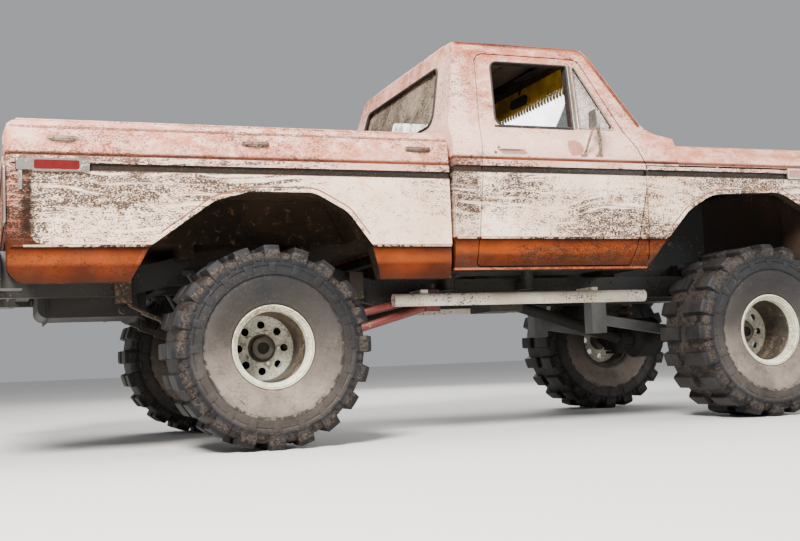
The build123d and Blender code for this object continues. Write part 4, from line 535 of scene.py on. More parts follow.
MUD = effect("Mud specks", mud_specks, ("Mask", "Height"), ("Amount", 0.2), ("Scale", 90))
STROKES = effect("Wipe strokes", wiped_strokes, ("Mask",))
DUST = effect("Settled dust", settled_dust, ("Mask",), ("Amount", 0.5))
RUST = effect("Rust bloom", rust_bloom, ("Mask", "Shade"), ("Amount", 0.2), ("Scale", 14))
GRAIN = effect("Surface grain", surface_grain, ("Height",), ("Scale", 400), ("Waves", 0.5))


def new_material(name):
    material = bpy.data.materials.new(name)
    material.use_nodes = True
    material.node_tree.nodes.clear()
    n = Nodes(material.node_tree)
    n.position = n.out("ShaderNodeTexCoord", key="Object")
    return material, n


def end_material(n, values, height=None, strength=0.2, depth=0.004):
    """Closes a material with its surface shader; fixed values sit on the shader's own sockets."""
    if height is not None:
        bump = {"Strength": strength, "Distance": depth, "Height": height}
        values["Normal"] = n.out("ShaderNodeBump", bump, "Normal")
    n.put("ShaderNodeOutputMaterial", {"Surface": n.out("ShaderNodeBsdfPrincipled", values, "BSDF")})


DRY_MUD = "8a6f57"
PALE_DUST = "b8a48c"


def weathered(slot_name, name, base, worn, rough, metal, mud, dust, rust, coat=0, grain=350, mud_tint=DRY_MUD):
    """The common finish of metal, paint, rubber and moulding, with its own mud, dust and rust."""
    material, n = new_material(name)
    shade = n.noise(3.5, 4, 0.6).ramp(0.3, 0.7)
    colour = n.mix(shade, base, worn)
    roughness = n.blend(shade, rough, min(1, rough + 0.12))
    metallic = metal
    height = n.use(GRAIN, Scale=grain, Waves=0.5)["Height"]
    if rust > 0:
        scab = n.use(RUST, Amount=rust, Scale=11)
        rust_colour = n.mix(scab["Shade"], "4a2413", "9a552c")
        colour = n.mix(scab["Mask"], colour, rust_colour)
        roughness = n.blend(scab["Mask"], roughness, 0.9)
        if metal > 0:
            metallic = n.blend(scab["Mask"], metal, 0)
        height = height + scab["Mask"] * 0.6
    settled = n.use(DUST, Amount=dust)["Mask"]
    colour = n.mix(settled, colour, PALE_DUST)
    roughness = n.blend(settled, roughness, 0.92)
    specks = n.use(MUD, Amount=mud, Scale=70)
    colour = n.mix(specks["Mask"], colour, mud_tint)
    roughness = n.blend(specks["Mask"], roughness, 0.95)
    height = height + specks["Height"] * 1.2
    values = {"Base Color": colour, "Roughness": roughness, "Metallic": metallic}
    if coat:
        values["Coat Weight"] = (1 - settled) * coat
        values["Coat Roughness"] = 0.25
    end_material(n, values, height, 0.25)
    return material, slot_name


THIN_PANE_IOR = 1.06
RUST_PATCH = (1802, 682)


def body_paint(name, rust=0.12):
    """Sun-faded two-tone paint: its bands lie by height, and dried mud and wipe marks lie over them."""
    material, n = new_material(name)
    xyz = n.parts()
    normal = n.normal()
    true_h = (xyz[2] - ROCKER_Z) * 1000
    x = (xyz[0] - REAR_AXLE_X) * 1000
    aft = x < 1034
    h = true_h + aft * BED_DROP
    y = abs(xyz[1]) * 1000
    cloud = n.noise(2.6, 4, 0.6).ramp(0.3, 0.7)
    fine = n.noise(26, 4, 0.7)
    grit = n.noise(140, 3, 0.7)
    # Upper body: pale salmon, chalked where the sun lies, deeper round the cab's frames
    upper = n.mix(cloud, "c2735a", "d48e76")
    chalk = n.noise(12, 5, 0.75, 0.4, at=n.scaled(0.7, 1, 1.3)).ramp(0.38, 0.68)
    upper = n.mix(chalk, upper, "ecbeaa")
    pale = x.band(1020, 1050, 2200, 2330)
    upper = n.mix(pale * h.ramp(1240, 1160, 0, 0.6), upper, "f2cdbd")
    frames = h.ramp(690, 960) * x.band(1150, 1200, 2330, 2620)
    upper = n.mix(frames * n.blend(chalk, 0.62, 0.22), upper, "a8502e")
    nose = x.ramp(2250, 2500) * h.ramp(600, 660)
    upper = n.mix(nose * n.blend(chalk, 0.5, 0.2), upper, "bf6c4c")
    # Lower body: orange, with a painted highlight over its crease and painted shade along the foot
    lower = n.mix(cloud, "3c1100", "662600")
    # Painted highlight: a lighter band over the crease
    crest_highlight = h.band(70, 96, 112, 150)
    lower = n.mix(crest_highlight * n.blend(fine, 0.15, 0.6), lower, "9c4a1c")
    soiled = n.noise(6, 5, 0.7, at=n.scaled(0.5, 1, 1.4)).ramp(0.46, 0.62) * h.ramp(175, 130)
    lower = n.mix(soiled * x.ramp(900, 1100, 0.25, 0.75), lower, n.mix(fine, "1e0e06", "5c3a28"))
    # Painted shade: darker towards the foot of the lower panel
    lower = n.mix(h.ramp(70, 0) * 0.6, lower, "200801")
    lower = n.mix(h.ramp(15, 7) * x.ramp(1000, 1040), lower, "a8583a")
    # Middle field: cream, with a round corner at the rear
    edge_x = abs(x - 1290) - 2345
    edge_z = abs(h - 360) - 120
    corner = n.calc("SQRT", edge_x.at_least(0) ** 2 + edge_z.at_least(0) ** 2)
    field = (corner + fine * 8).ramp(70, 62)
    cream = n.mix(cloud, "e0bfa4", "f3d9c6")
    cream = n.mix(n.noise(17, 4, 0.7).ramp(0.5, 0.68), cream, "d3ab8c")
    surround = n.mix(h.ramp(600, 150), upper, lower)
    colour = n.mix(h.ramp(165, 169), lower, surround)
    colour = n.mix(field * h.ramp(172, 176), colour, cream)
    # Belt: dark band, pale ridge and rust-brown groove
    band = h.band(526, 530, 562, 567)
    band = band * x.ramp(-1180, -1140)
    colour = n.mix(band, colour, n.mix(grit.ramp(0.6, 0.7), "120b06", "8c7854"))
    ridge = h.band(563, 567, 598, 602)
    colour = n.mix(ridge, colour, n.mix(cloud, "e4c0ae", "cf9a84"))
    groove = h.band(598, 602, 612, 626)
    colour = n.mix(h.ramp(602, 612), colour, upper)
    colour = n.mix(groove, colour, n.mix(cloud, "4a1c0a", "74381c"))
    rail_line = aft * true_h.band(690, 698, 702, 708)
    colour = n.mix(rail_line * grit.ramp(0.35, 0.6), colour, "4a2616")
    # Rust and scuffs on the lower panels
    scab = n.use(RUST, Amount=rust, Scale=9)
    rust_here = scab["Mask"] * h.ramp(760, 100)
    colour = n.mix(rust_here * 0.7, colour, n.mix(scab["Shade"], "4e230f", "a4521f"))
    # Dried mud in specks and dashes; heavy at the rear of the bed and low on the doors, rubbed off in strokes
    rear = x.ramp(250, -800)
    door_foot = x.ramp(1450, 2150) * h.ramp(470, 200)
    corner_post = x.band(1020, 1060, 1165, 1210)
    middle = h.band(160, 190, 560, 640)
    extra = rear * 0.13 + (door_foot * 0.07 + corner_post * 0.1)
    door_low = x.ramp(1040, 1200) * h.ramp(160, 120)
    amount = 0.18 + door_low * 0.05 + middle * (0.055 + extra)
    specks = n.use(MUD, Position=n.scaled(0.55, 1, 1), Amount=amount, Scale=150)
    strokes = n.use(STROKES)["Mask"]
    rubbed = strokes * (middle * 0.9)
    mud = specks["Mask"] * (1 - rubbed)
    mud_colour = n.mix(fine, "0e0805", "35261b")
    colour = n.mix(mud * n.blend(middle, 0.72, 0.95), colour, mud_colour)
    grimy = corner_post * middle * grit.ramp(0.4, 0.6)
    colour = n.mix(grimy * 0.55, colour, "3c2a1e")
    sway = x + (1100 + fine * 60)
    streak = abs(sway).ramp(46, 10)
    streak = streak * h.band(150, 260, 500, 560)
    colour = n.mix(streak * fine.ramp(0.32, 0.5), colour, "20130b")
    patch = ((x - RUST_PATCH[0]) / 52) ** 2 + ((h - RUST_PATCH[1]) / 48) ** 2
    patch = (patch + fine * 1.2).ramp(1.75, 1.35)
    patch = patch * (xyz[1] < 0)
    colour = n.mix(patch * 0.85, colour, n.mix(fine, "8c4a3a", "b87868"))
    # What faces in or lies under the body: bed lining, cab lining, and dark grime below, which is partly underbody
    # dirt and partly painted shade
    h = true_h
    fore = x > 2252
    middle_x = n.blend(fore, n.blend(aft, 1650, -100), 2950)
    middle_h = n.blend(fore, n.blend(aft, 690, 480), 250)
    toward = normal[0] * (middle_x - x)
    toward = toward - normal[1] * (xyz[1] * 1000)
    toward = toward + normal[2] * (middle_h - h)
    inward = toward > 8
    across = abs(normal[1])
    by_arch = (abs(x) < 640).at_least(x > 2340)
    arch_cut = (across < 0.3) * (by_arch * (h < 450))
    rail_cap = (h > 694) * aft
    inward = inward * (1 - rail_cap)
    cowl_face = (normal[0] > 0.5) * (h > 520)
    cowl_face = cowl_face * (abs(x - 2473) < 5)
    inward = inward * (1 - cowl_face)
    to_wheel = normal[0] * (x * -1) + normal[2] * (-380 - h)
    off_wall = (y > 600) * (across < 0.7)
    wheel_side = (to_wheel > 8) * (off_wall * by_arch)
    house = (to_wheel < -8) * (off_wall * (y < 840))
    house = house * ((abs(x) < 640) * (normal[2] > -0.2))
    bed_lining = inward.at_least(house) * (aft * (h > 160))
    bed_lining = bed_lining * (1 - wheel_side)
    cab_lining = inward * ((1 - (fore + aft)) * (h > 28))
    low_down = (y < 932) * (h < 590)
    low_down = low_down * (x > -1218)
    faces_down = (normal[2] < -0.7) * (h < 640)
    # Painted shade with underbody dirt: dark on what faces down, faces inward, lies low inboard or lines the arches
    under = low_down.at_least(arch_cut).at_least(inward.at_least(faces_down))
    grime_and_shade = n.mix(cloud, "191410", "33261b")
    grime_and_shade = n.mix(fine.ramp(0.55, 0.72), grime_and_shade, "5b4330")
    colour = n.mix(under, colour, grime_and_shade)
    lining = n.mix(cloud, "7c4a36", "94624a")
    lining = n.mix(n.noise(12, 5, 0.7).ramp(0.45, 0.6), lining, "5b3a28")
    lining = n.mix((normal[2] > 0.5) * fine.ramp(0.25, 0.6), lining, "83694f")
    colour = n.mix(bed_lining, colour, lining)
    trimmed = n.mix(fine.ramp(0.4, 0.7), "1f1814", "3a2e26")
    colour = n.mix(cab_lining, colour, trimmed)
    # Dust on what faces up
    settled = n.use(DUST, Amount=0.12)["Mask"]
    colour = n.mix(settled * (1 - under * 0.6), colour, "cdb49c")
    rough = n.blend(mud, n.blend(cloud, 0.42, 0.58), 0.95)
    rough = n.blend(under, rough, 0.9)
    grain = n.use(GRAIN, Scale=260, Waves=1)["Height"]
    height = grain * 0.5 + mud * 0.9
    shine = h.ramp(120, 620)
    values = {"Base Color": colour, "Roughness": rough, "Coat Roughness": 0.3,
              "Specular IOR Level": n.blend(shine, 0.1, 0.28),
              "Coat Weight": n.blend(mud.at_least(under), shine * 0.08, 0)}
    end_material(n, values, height, 0.22)
    return material


def tyre_finish(name):
    """Old rubber: dark at the top, dusty with fine cracks lower down, mud packed between the lugs."""
    material, n = new_material(name)
    reach = n.attribute("reach")
    z = n.parts()[2]
    cloud = n.noise(5, 5, 0.65).ramp(0.3, 0.7)
    fine = n.noise(55, 4, 0.7)
    colour = n.mix(cloud, "0b0c0f", "1a1b1e")
    sidewall = reach.ramp(0.425, 0.405)
    low = z.ramp(0.62, 0.22) * sidewall
    high = (z + cloud * 0.2).ramp(1.05, 0.55) * sidewall
    inner = reach.ramp(0.356, 0.346)
    zone = n.blend(inner, 0.22, 1)
    dusty = (low * 0.62 + high * 0.2) * zone
    dusty = dusty + fine.ramp(0.5, 0.8) * 0.05
    dust_colour = n.mix(cloud, "6f655c", "988a7e")
    colour = n.mix(dusty * n.blend(fine, 0.7, 1.15), colour, dust_colour)
    cracks = n.edges(34, at=n.scaled(1, 1, 1.6)).ramp(0.035, 0.012)
    cracks = cracks * (n.noise(7, 3).ramp(0.52, 0.62) * reach.ramp(0.44, 0.4))
    colour = n.mix(cracks * 0.75, colour, "2a241f")
    ledge = reach.band(0.336, 0.346, 0.354, 0.362)
    ledge = ledge * n.noise(34, 4, 0.7).ramp(0.44, 0.56)
    colour = n.mix(ledge * 0.8, colour, "15120f")
    packed = reach.band(0.425, 0.448, 0.47, 0.484)
    crumbs = n.noise(95, 5, 0.8)
    packed = packed * n.blend(0.45, n.noise(24, 4, 0.7), crumbs).ramp(0.45, 0.53)
    clod = n.mix(crumbs.ramp(0.35, 0.65), "15110d", "574b40")
    colour = n.mix(packed * 0.7, colour, clod)
    tread = reach.ramp(0.494, 0.4995)
    colour = n.mix(tread * 0.35, colour, n.mix(cloud, "1f1d1c", "403a34"))
    splashes = n.use(MUD, Amount=0.155, Scale=75)
    colour = n.mix(splashes["Mask"] * 0.5, colour, clod)
    rough = n.blend(dusty, 0.62, 0.9)
    grain = n.use(GRAIN, Scale=180, Waves=0.4)["Height"]
    height = grain * 0.6 + (packed * crumbs * 3 - cracks * 0.8)
    end_material(n, {"Base Color": colour, "Roughness": rough, "Specular IOR Level": 0.22}, height, 0.35, 0.006)
    return material


def rim_finish(name):
    """Chalky cream steel with brown water marks, heavier down in the barrel; painted shade darkens the barrel, the
    upper half of its inside and the dished disc.
    """
    material, n = new_material(name)
    reach = n.attribute("reach")
    depth = n.attribute("depth")
    cloud = n.noise(9, 5, 0.7, 0.4).ramp(0.34, 0.66)
    fine = n.noise(70, 4, 0.7)
    colour = n.mix(cloud, "c9c9b2", "e9e6d6")
    lip = reach.ramp(0.193, 0.199)
    colour = n.mix(lip * 0.55, colour, "b9b98c")
    barrel = depth.ramp(0.05, 0.058) * reach.ramp(0.162, 0.168)
    # Painted shade: the inside darkens over the rim's upper half, mixed with water stains
    shaded_upper_half = n.parts()[2].ramp(0.37, 0.5, 0.3, 1)
    stains_and_shade = depth.ramp(0.003, 0.01) * shaded_upper_half * fine.ramp(0.3, 0.62)
    colour = n.mix(stains_and_shade * reach.ramp(0.16, 0.168, 0, 0.65), colour, n.mix(cloud, "5c5434", "8c8254"))
    # Painted shade down in the deep barrel, mottled like grime
    grime_and_shade = barrel * n.blend(0.35, cloud, fine).ramp(0, 0.28, 0.9, 0.98)
    colour = n.mix(grime_and_shade, colour, n.mix(fine, "0f0c0a", "2c251f"))
    # Painted shade over the deep dished disc, with stains
    disc_stain_and_shade = depth.ramp(0.235, 0.25) * reach.ramp(0.17, 0.166) * n.blend(fine.ramp(0.42, 0.62), 0.4, 1)
    colour = n.mix(disc_stain_and_shade * 0.6, colour, n.mix(cloud, "5b5846", "8a866e"))
    hub = reach.ramp(0.0735, 0.0715)
    colour = n.mix(hub * 0.94, colour, n.mix(fine, "14110e", "2e2720"))
    specks = n.use(MUD, Amount=0.2, Scale=110)
    colour = n.mix(specks["Mask"] * 0.8, colour, "7c6852")
    chips = n.use(RUST, Amount=0.12, Scale=22)
    colour = n.mix(chips["Mask"], colour, n.mix(chips["Shade"], "4c3a2c", "8d6a4a"))
    rim_line = reach.ramp(0.2035, 0.2065) * 0.35
    colour = n.mix(rim_line, colour, "8d8a78")
    rough = n.blend(specks["Mask"], n.blend(cloud, 0.42, 0.6), 0.9)
    grain = n.use(GRAIN, Scale=300, Waves=0.3)["Height"]
    height = grain + specks["Height"] * 0.8
    end_material(n, {"Base Color": colour, "Roughness": rough}, height, 0.2)
    return material


def window_glass(name, film, colour="9a8a76", tone="e8efe8", patchy=0.5, fore_film=None):
    """Clear glass under a film of dust; fore_film thins the film towards the front."""
    material, n = new_material(name)
    cloud = n.noise(4, 5, 0.65, 0.5)
    specks = n.use(MUD, Amount=film * 0.45, Scale=130)
    even = film * (1 - patchy) * 0.8
    veil = n.calc("ADD", cloud.ramp(0.35, 0.75) * (film * patchy), even, clamp=True)
    veil = veil.at_least(specks["Mask"] * min(1, film * 2))
    if fore_film is not None:
        veil = veil * n.parts()[0].ramp(0.2, 0.5, 1, fore_film)
    film_colour = n.mix(n.noise(40), colour, PALE_DUST)
    clear = {"Base Color": tone, "Roughness": 0.04, "Metallic": 0, "Transmission Weight": 1, "IOR": THIN_PANE_IOR}
    clear = n.out("ShaderNodeBsdfPrincipled", clear)
    dusty = n.out("ShaderNodeBsdfPrincipled", {"Base Color": film_colour, "Roughness": 0.9})
    n.put("ShaderNodeOutputMaterial", {"Surface": n.out("ShaderNodeMixShader", {0: veil, 1: clear, 2: dusty})})
    return material


def lens(name, code, deep):
    """A ribbed lamp lens."""
    material, n = new_material(name)
    ribs = n.calc("SINE", n.parts()[0] * 700)
    cloud = n.noise(40, 4)
    colour = n.mix(cloud, code, deep)
    settled = n.use(DUST, Amount=0.1)["Mask"]
    colour = n.mix(settled, colour, PALE_DUST)
    end_material(n, {"Base Color": colour, "Roughness": 0.22, "Coat Weight": n.blend(settled, 0.6, 0),
                     "Coat Roughness": 0.08}, ribs * 0.5, 0.25, 0.002)
    return material


def cloth_finish(name, base, worn, weave=900, sheen=0.3, mud=0.08):
    """Woven seat cloth with a worn nap."""
    material, n = new_material(name)
    xyz = n.parts()
    warp = n.calc("SINE", xyz[1] * weave)
    weft = n.calc("SINE", (xyz[0] + xyz[2]) * weave)
    threads = (warp + 1) * (weft + 1)
    cloud = n.noise(6, 5, 0.65).ramp(0.32, 0.68)
    colour = n.mix(cloud, base, worn)
    colour = n.mix(threads * 0.06, colour, "000000")
    settled = n.use(DUST, Amount=0.5)["Mask"]
    colour = n.mix(settled, colour, PALE_DUST)
    specks = n.use(MUD, Amount=mud, Scale=60)
    colour = n.mix(specks["Mask"], colour, DRY_MUD)
    end_material(n, {"Base Color": colour, "Roughness": n.blend(cloud, 0.85, 0.95), "Sheen Weight": sheen,
                     "Sheen Roughness": 0.5}, threads, 0.25, 0.001)
    return material


PAINT = body_paint("Two-tone paint")
SIDE_PAINT, TOP_PAINT = (PAINT, "side_paint"), (PAINT, "upper_paint")
TYRE = (tyre_finish("Tyre rubber"), "tyre_rubber")
RIM = (rim_finish("Rim paint"), "rim_paint")
CHROME = weathered("mirror_metal", "Dull bright trim", "b9b4aa", "8a8276", 0.24, 0.9, 0.14, 0.25, 0.12, grain=500)
FRAME = weathered("frame_steel", "Frame black", "0b0b0a", "181512", 0.6, 0, 0.08, 0.12, 0.08)
AXLE = weathered("axle_iron", "Axle iron", "060605", "110e0c", 0.7, 0, 0.1, 0.04, 0.1, mud_tint="4a3a2c")
SPRING = weathered("spring_steel", "Spring steel", "191715", "362c22", 0.5, 0.4, 0.17, 0.22, 0.22)
BUMPER = weathered("bumper_steel", "Bumper black", "0c0e0d", "1c1b19", 0.45, 0, 0.12, 0.22, 0.08)
RED_BAR = weathered("red_bar", "Red bar paint", "4c0200", "680c04", 0.4, 0, 0.12, 0.08, 0.04, coat=0.15)
WHITE_PIPE = weathered("white_pipe", "White pipe", "e8dfd0", "bcae9a", 0.5, 0, 0.15, 0.15, 0.14, mud_tint="46362a")
GREY_ARM = weathered("grey_arm", "Grey link paint", "43484e", "6a6c6c", 0.42, 0.2, 0.15, 0.2, 0.08)
SHOCK = weathered("shock_paint", "Shock paint", "202327", "35373a", 0.42, 0, 0.12, 0.2, 0.06)
TANK = weathered("tank_steel", "Tank steel", "0d0c0b", "1a1613", 0.6, 0.2, 0.08, 0.12, 0.1)
ENGINE = weathered("engine_iron", "Engine iron", "1b2226", "2c2a26", 0.55, 0.2, 0.12, 0.3, 0.16)
CABIN = weathered("cabin_black", "Cabin moulding", "1c1a1a", "2d2926", 0.6, 0, 0.03, 0.35, 0, grain=900)
BLACK_RUBBER = weathered("cabin_black", "Seal rubber", "161514", "2a2724", 0.75, 0, 0.1, 0.3, 0, grain=700)
NOSE = weathered("nose_steel", "Nose steel", "241a15", "3f2b20", 0.6, 0, 0.1, 0.4, 0.1)
GRILLE = weathered("grille_metal", "Grille metal", "b9b4aa", "8f887c", 0.35, 0.8, 0.16, 0.3, 0.06)
LAMP_GLASS = (lens("Lamp glass", "dfe3e0", "b8bdb8"), "lamp_glass")
AMBER = (lens("Amber lens", "a04a04", "743002"), "amber_lens")
RED_LENS = (lens("Red lens", "6c0e0c", "460808"), "red_lens")
SEAT_CLOTH = (cloth_finish("Bench cloth", "4f4038", "6a574a"), "seat_cloth")
MUDDY = (window_glass("Muddy back glass", film=0.55, colour="5a4f43", patchy=0.8, fore_film=0.25), "clear_glass")
VENT = (window_glass("Vent glass", film=0.55, colour="cdbfc6", tone="efeaf2", patchy=0.3), "clear_glass")


# --- Camera, floor and light
def set_camera():
    """The photograph's viewpoint: low, behind the middle, looking a little forward and up."""
    yaw, pitch, roll = radians(20.79), radians(4.61), radians(-2.31)
    ahead = Vector((sin(yaw) * cos(pitch), cos(yaw) * cos(pitch), sin(pitch)))
    level = Vector((cos(yaw), -sin(yaw), 0))
    lift = level.cross(ahead)
    right = cos(roll) * level + sin(roll) * lift
    up = -sin(roll) * level + cos(roll) * lift
    view = bpy.data.cameras.new("photograph_camera")
    view.sensor_width = 36
    view.lens = 36 * 1099 / 800
    view.clip_end = 200
    camera = placed("photograph_camera", view)
    turn = Matrix((right, up, -ahead)).transposed().to_4x4()
    camera.matrix_world = Matrix.Translation((-2.5115, -6.347, 0.4175)) @ turn
    bpy.context.scene.camera = camera


def studio_light(name, place, aim, size, power, colour=(1, 1, 1)):
    data = bpy.data.lights.new(name, "AREA")
    data.shape = "DISK"
    data.size = size
    data.energy = power
    data.color = colour
    lamp = placed(name, data)
    lamp.location = place
    lamp.rotation_euler = (Vector(aim) - Vector(place)).to_track_quat("-Z", "Y").to_euler()


def set_stage():
    floor_mesh = bpy.data.meshes.new("pale_floor")
    size = 60
    floor_mesh.from_pydata([(-size, -size, 0), (size, -size, 0), (size, size, 0), (-size, size, 0)], [],
                           [(0, 1, 2, 3)])
    floor = placed("pale_floor", floor_mesh)
    material, n = new_material("Pale floor")
    cloud = n.noise(0.8, 3)
    end_material(n, {"Base Color": n.mix(cloud, "d9d7d2", "dedcd8"), "Roughness": 0.85})
    floor_mesh.materials.append(material)
    world = bpy.data.worlds.new("Soft studio")
    world.use_nodes = True
    back = world.node_tree.nodes["Background"]
    back.inputs["Color"].default_value = (0.93, 0.95, 1, 1)
    back.inputs["Strength"].default_value = 0.42
    bpy.context.scene.world = world
    studio_light("key_softbox", (-4.5, -6.5, 6.5), (0, -0.5, 1), 3, 2650, (1, 0.97, 0.93))
    studio_light("fill_softbox", (5.5, -5.5, 3.5), (0.8, 0, 1), 4, 330, (0.95, 0.97, 1))
    studio_light("top_softbox", (0, 1, 7.5), (0, 0, 1), 6, 420)
    studio_light("back_softbox", (3, 7.5, 4.5), (0, 0.5, 1), 4.5, 330)


set_camera()
set_stage()


# --- Wheels: lugged tyres on dished steel rims
LUG_TOP = 501.5


def tyre_lug(inner):
    """One lug, from near the middle out over the shoulder and down it as a rib."""
    outline = ((inner, LUG_TOP), (inner + 70, LUG_TOP), (193, LUG_TOP), (205, LUG_TOP - 12), (212.5, 470),
               (214.5, 440), (214, 418), (208, 410))
    inside = ((200, 412), (196, 440), (176, 462), (inner, 462))
    rings = []
    for x, share in ((-42, 0), (-37.5, 1), (-12.5, 1), (12.5, 1), (37.5, 1), (42, 0)):
        ring = []
        for y, r in outline:
            foot = min(r, 468) if y < 190 else r - 14
            radius = r if share else foot
            across = y if share or y < 190 else y - 9
            ring.append((x, across, sqrt(radius * radius - x * x)))
        for y, r in inside:
            ring.append((x, y, sqrt(r * r - x * x)))
        rings.append(ring)
    return Form().loft(rings)


def shoulder_block():
    """A low block on the shoulder between two lugs."""
    rings = []
    for x, r_top, out in ((-17, 441, 206), (-13, 450, 211), (13, 450, 211), (17, 441, 206)):
        ring = ((out - 6, r_top), (out, r_top - 10), (out + 1.5, 424), (200, 420), (196, 440))
        rings.append([(x, y, sqrt(r * r - x * x)) for y, r in ring])
    return Form().loft(rings)


TYRE_WALL = ((0, 475), (70, 474.5), (130, 473), (172, 469), (190, 461), (201, 449), (206.5, 436), (209.5, 422),
             (211.5, 408), (212.5, 401), (209.5, 398.5), (209.5, 394.5), (213.5, 392), (216.8, 374), (218.4, 361),
             (218.4, 354), (213.2, 351), (212, 346), (214, 341), (215.4, 325), (214.6, 306), (213.5, 297.5),
             (209, 280), (203.5, 258), (197.5, 236), (194, 228), (194.5, 225.5), (193, 222), (190.5, 214),
             (186, 210.5), (178, 210.2))


def wall_rib():
    """A flat rib that runs from a lug down the wall to the ledge."""
    rings = []
    for r, out in ((416, 213), (408, 215), (396, 216.6), (380, 218.6), (368, 219.6), (365, 217)):
        section = ((-19, out), (19, out), (22, out - 7), (-22, out - 7))
        rings.append([(x, y, sqrt(r * r - x * x)) for x, y in section])
    return Form().loft(rings)


def tyre_mesh():
    whole = [(-y, r) for y, r in reversed(TYRE_WALL)] + list(TYRE_WALL[1:])
    whole += [(177.6, 184.4), (120, 184.4), (-120, 184.4), (-177.6, 184.4)]
    tyre = Form().turned(whole, sides=132, closed=True)
    pitch = tau / 10
    for side, first in ((1, 0), (-1, pitch / 2)):
        for inner, shift in ((14, 0), (62, pitch / 2)):
            tyre.add(round_axle(tyre_lug(inner), 10, first=first + shift), mirror(side))
        tyre.add(round_axle(shoulder_block(), 20, first=first + pitch / 4), mirror(side))
        for shift in (0, pitch / 2):
            tyre.add(round_axle(wall_rib(), 10, first=first + shift), mirror(side))
    return tyre


RIM_FACE = ((190, 199), (190, 204.5), (187.5, 207), (184, 207), (180.5, 204), (180, 196), (177.8, 186), (174, 184.1),
            (122, 184.1), (112, 178), (60, 177))
RIM_BARREL = ((60, 168.5), (104, 168.5), (114, 172.5), (128, 172.5), (131, 175), (160, 175.2), (166, 178.2),
              (173, 178.8), (176.5, 182.5), (178, 189.5), (184, 192.2), (186.5, 196))


def rim_barrel():
    outer = [(-y, r) for y, r in reversed(RIM_FACE)] + list(RIM_FACE)
    inner = [(-y, r) for y, r in reversed(RIM_BARREL)] + list(RIM_BARREL)
    return Form().turned(outer[::-1] + inner, sides=128, closed=True)


def rim_disc():
    """The dished disc with its ring of holes, its hub opening and a pressed ring round it."""
    disc = Form()
    thick, hole_ring, hole, hole_sides = 9, 118, 20, 16
    centres = circle(hole_ring, 8)
    plane, edges = [], []
    loops = [circle(radius, count) for radius, count in ((169.5, 96), (150, 64), (90, 64), (68, 64))]
    for loop in loops + [circle(hole, hole_sides, u, v) for u, v in centres]:
        first, count = len(plane), len(loop)
        plane += [Vector(p) for p in loop]
        edges += [(first + i, first + (i + 1) % count) for i in range(count)]
    verts, _, faces, *_ = delaunay_2d_cdt(plane, edges, [], 0, 1e-5)

    def solid(face):
        c = sum((verts[i] for i in face), Vector((0, 0))) / len(face)
        return c.length >= 67 and all((c - Vector(centre)).length >= hole - 0.5 for centre in centres)

    def dish(r):
        return -75 + 5 * max(0, min(1, (r - 140) / 26)) + 4 * max(0, min(1, (92 - r) / 18))

    top, low = [[disc.bm.verts.new((v.x, dish(v.length) + lift, v.y)) for v in verts]
                for lift in (thick / 2, -thick / 2)]
    used = {}
    for face in filter(solid, faces):
        disc.bm.faces.new([top[i] for i in face])
        disc.bm.faces.new([low[i] for i in reversed(face)])
        for a, b in zip(face, list(face[1:]) + [face[0]]):
            key = (min(a, b), max(a, b))
            used[key] = used.get(key, 0) + 1
    for a, b in [key for key, times in used.items() if times == 1]:
        disc.bm.faces.new((top[a], top[b], low[b], low[a]))
    for v in [v for v in disc.bm.verts if not v.link_faces]:
        disc.bm.verts.remove(v)
    return disc


def with_reach(mesh, centre):
    """Keeps each corner's distance from the axle, and its depth behind the rim's lip, on the mesh."""
    reach = mesh.attributes.new("reach", "FLOAT", "POINT")
    depth = mesh.attributes.new("depth", "FLOAT", "POINT")
    for i, vert in enumerate(mesh.vertices):
        dx, dz = vert.co.x - centre.x, vert.co.z - centre.z
        reach.data[i].value = hypot(dx, dz)
        depth.data[i].value = 0.19 - (vert.co.y - centre.y) * (1 if centre.y > 0 else -1)


def plain_mesh(form, name, matrix, bevel, limit, segments=2):
    """Bevels a form once and keeps the result as a plain mesh."""
    holder = placed("holder", form.moved(matrix).mesh(name))
    eased(holder, bevel, segments, limit)
    result = baked(holder, name)
    bpy.data.objects.remove(holder)
    return result


def wheel_rim():
    """The barrel with its disc, the two hub rings and five nuts."""
    rim = rim_barrel().add(rim_disc().mesh("disc"))
    rim.turned([(-66, 30.05), (-66, 52), (-62, 56), (-40, 58), (-34, 55), (-30, 46), (-30, 30.05)], sides=64,
               closed=True)
    rim.turned([(-112, 30.05), (-112, 60), (-82, 66), (-70, 70.5), (-62, 70.5), (-62, 64), (-66, 58), (-66, 30.05)],
               sides=64, closed=True)
    nut = hex_head(11, 15).moved(Matrix.Translation((0, -66.5, 84)))
    return rim.add(round_axle(nut, 5, first=0.3))


def build_wheels():
    kinds = (("tyre_", "_lugged", tyre_mesh, TYRE, 30, (2.2, 48, 2)),
             ("rim_", "_dished", wheel_rim, RIM, 35, (1, 50, 1)))
    for end, at_x in (("front_", FRONT_AXLE), ("rear_", 0)):
        for side, hand in SIDES:
            centre = STATION @ Vector((at_x, side * TRACK_HALF, -AXLE_DROP))
            to_wheel = Matrix.Translation(centre) @ mirror(side) @ Matrix.Scale(0.001, 4)
            for kind, suffix, build, finish, smooth, bevel in kinds:
                node = kind + end + hand
                mesh = plain_mesh(build(), node + suffix, to_wheel, *bevel)
                with_reach(mesh, centre)
                shown(node + suffix, mesh, "wheel_" + end + hand, finish, smooth=smooth, replaces=(node,))


build_wheels()


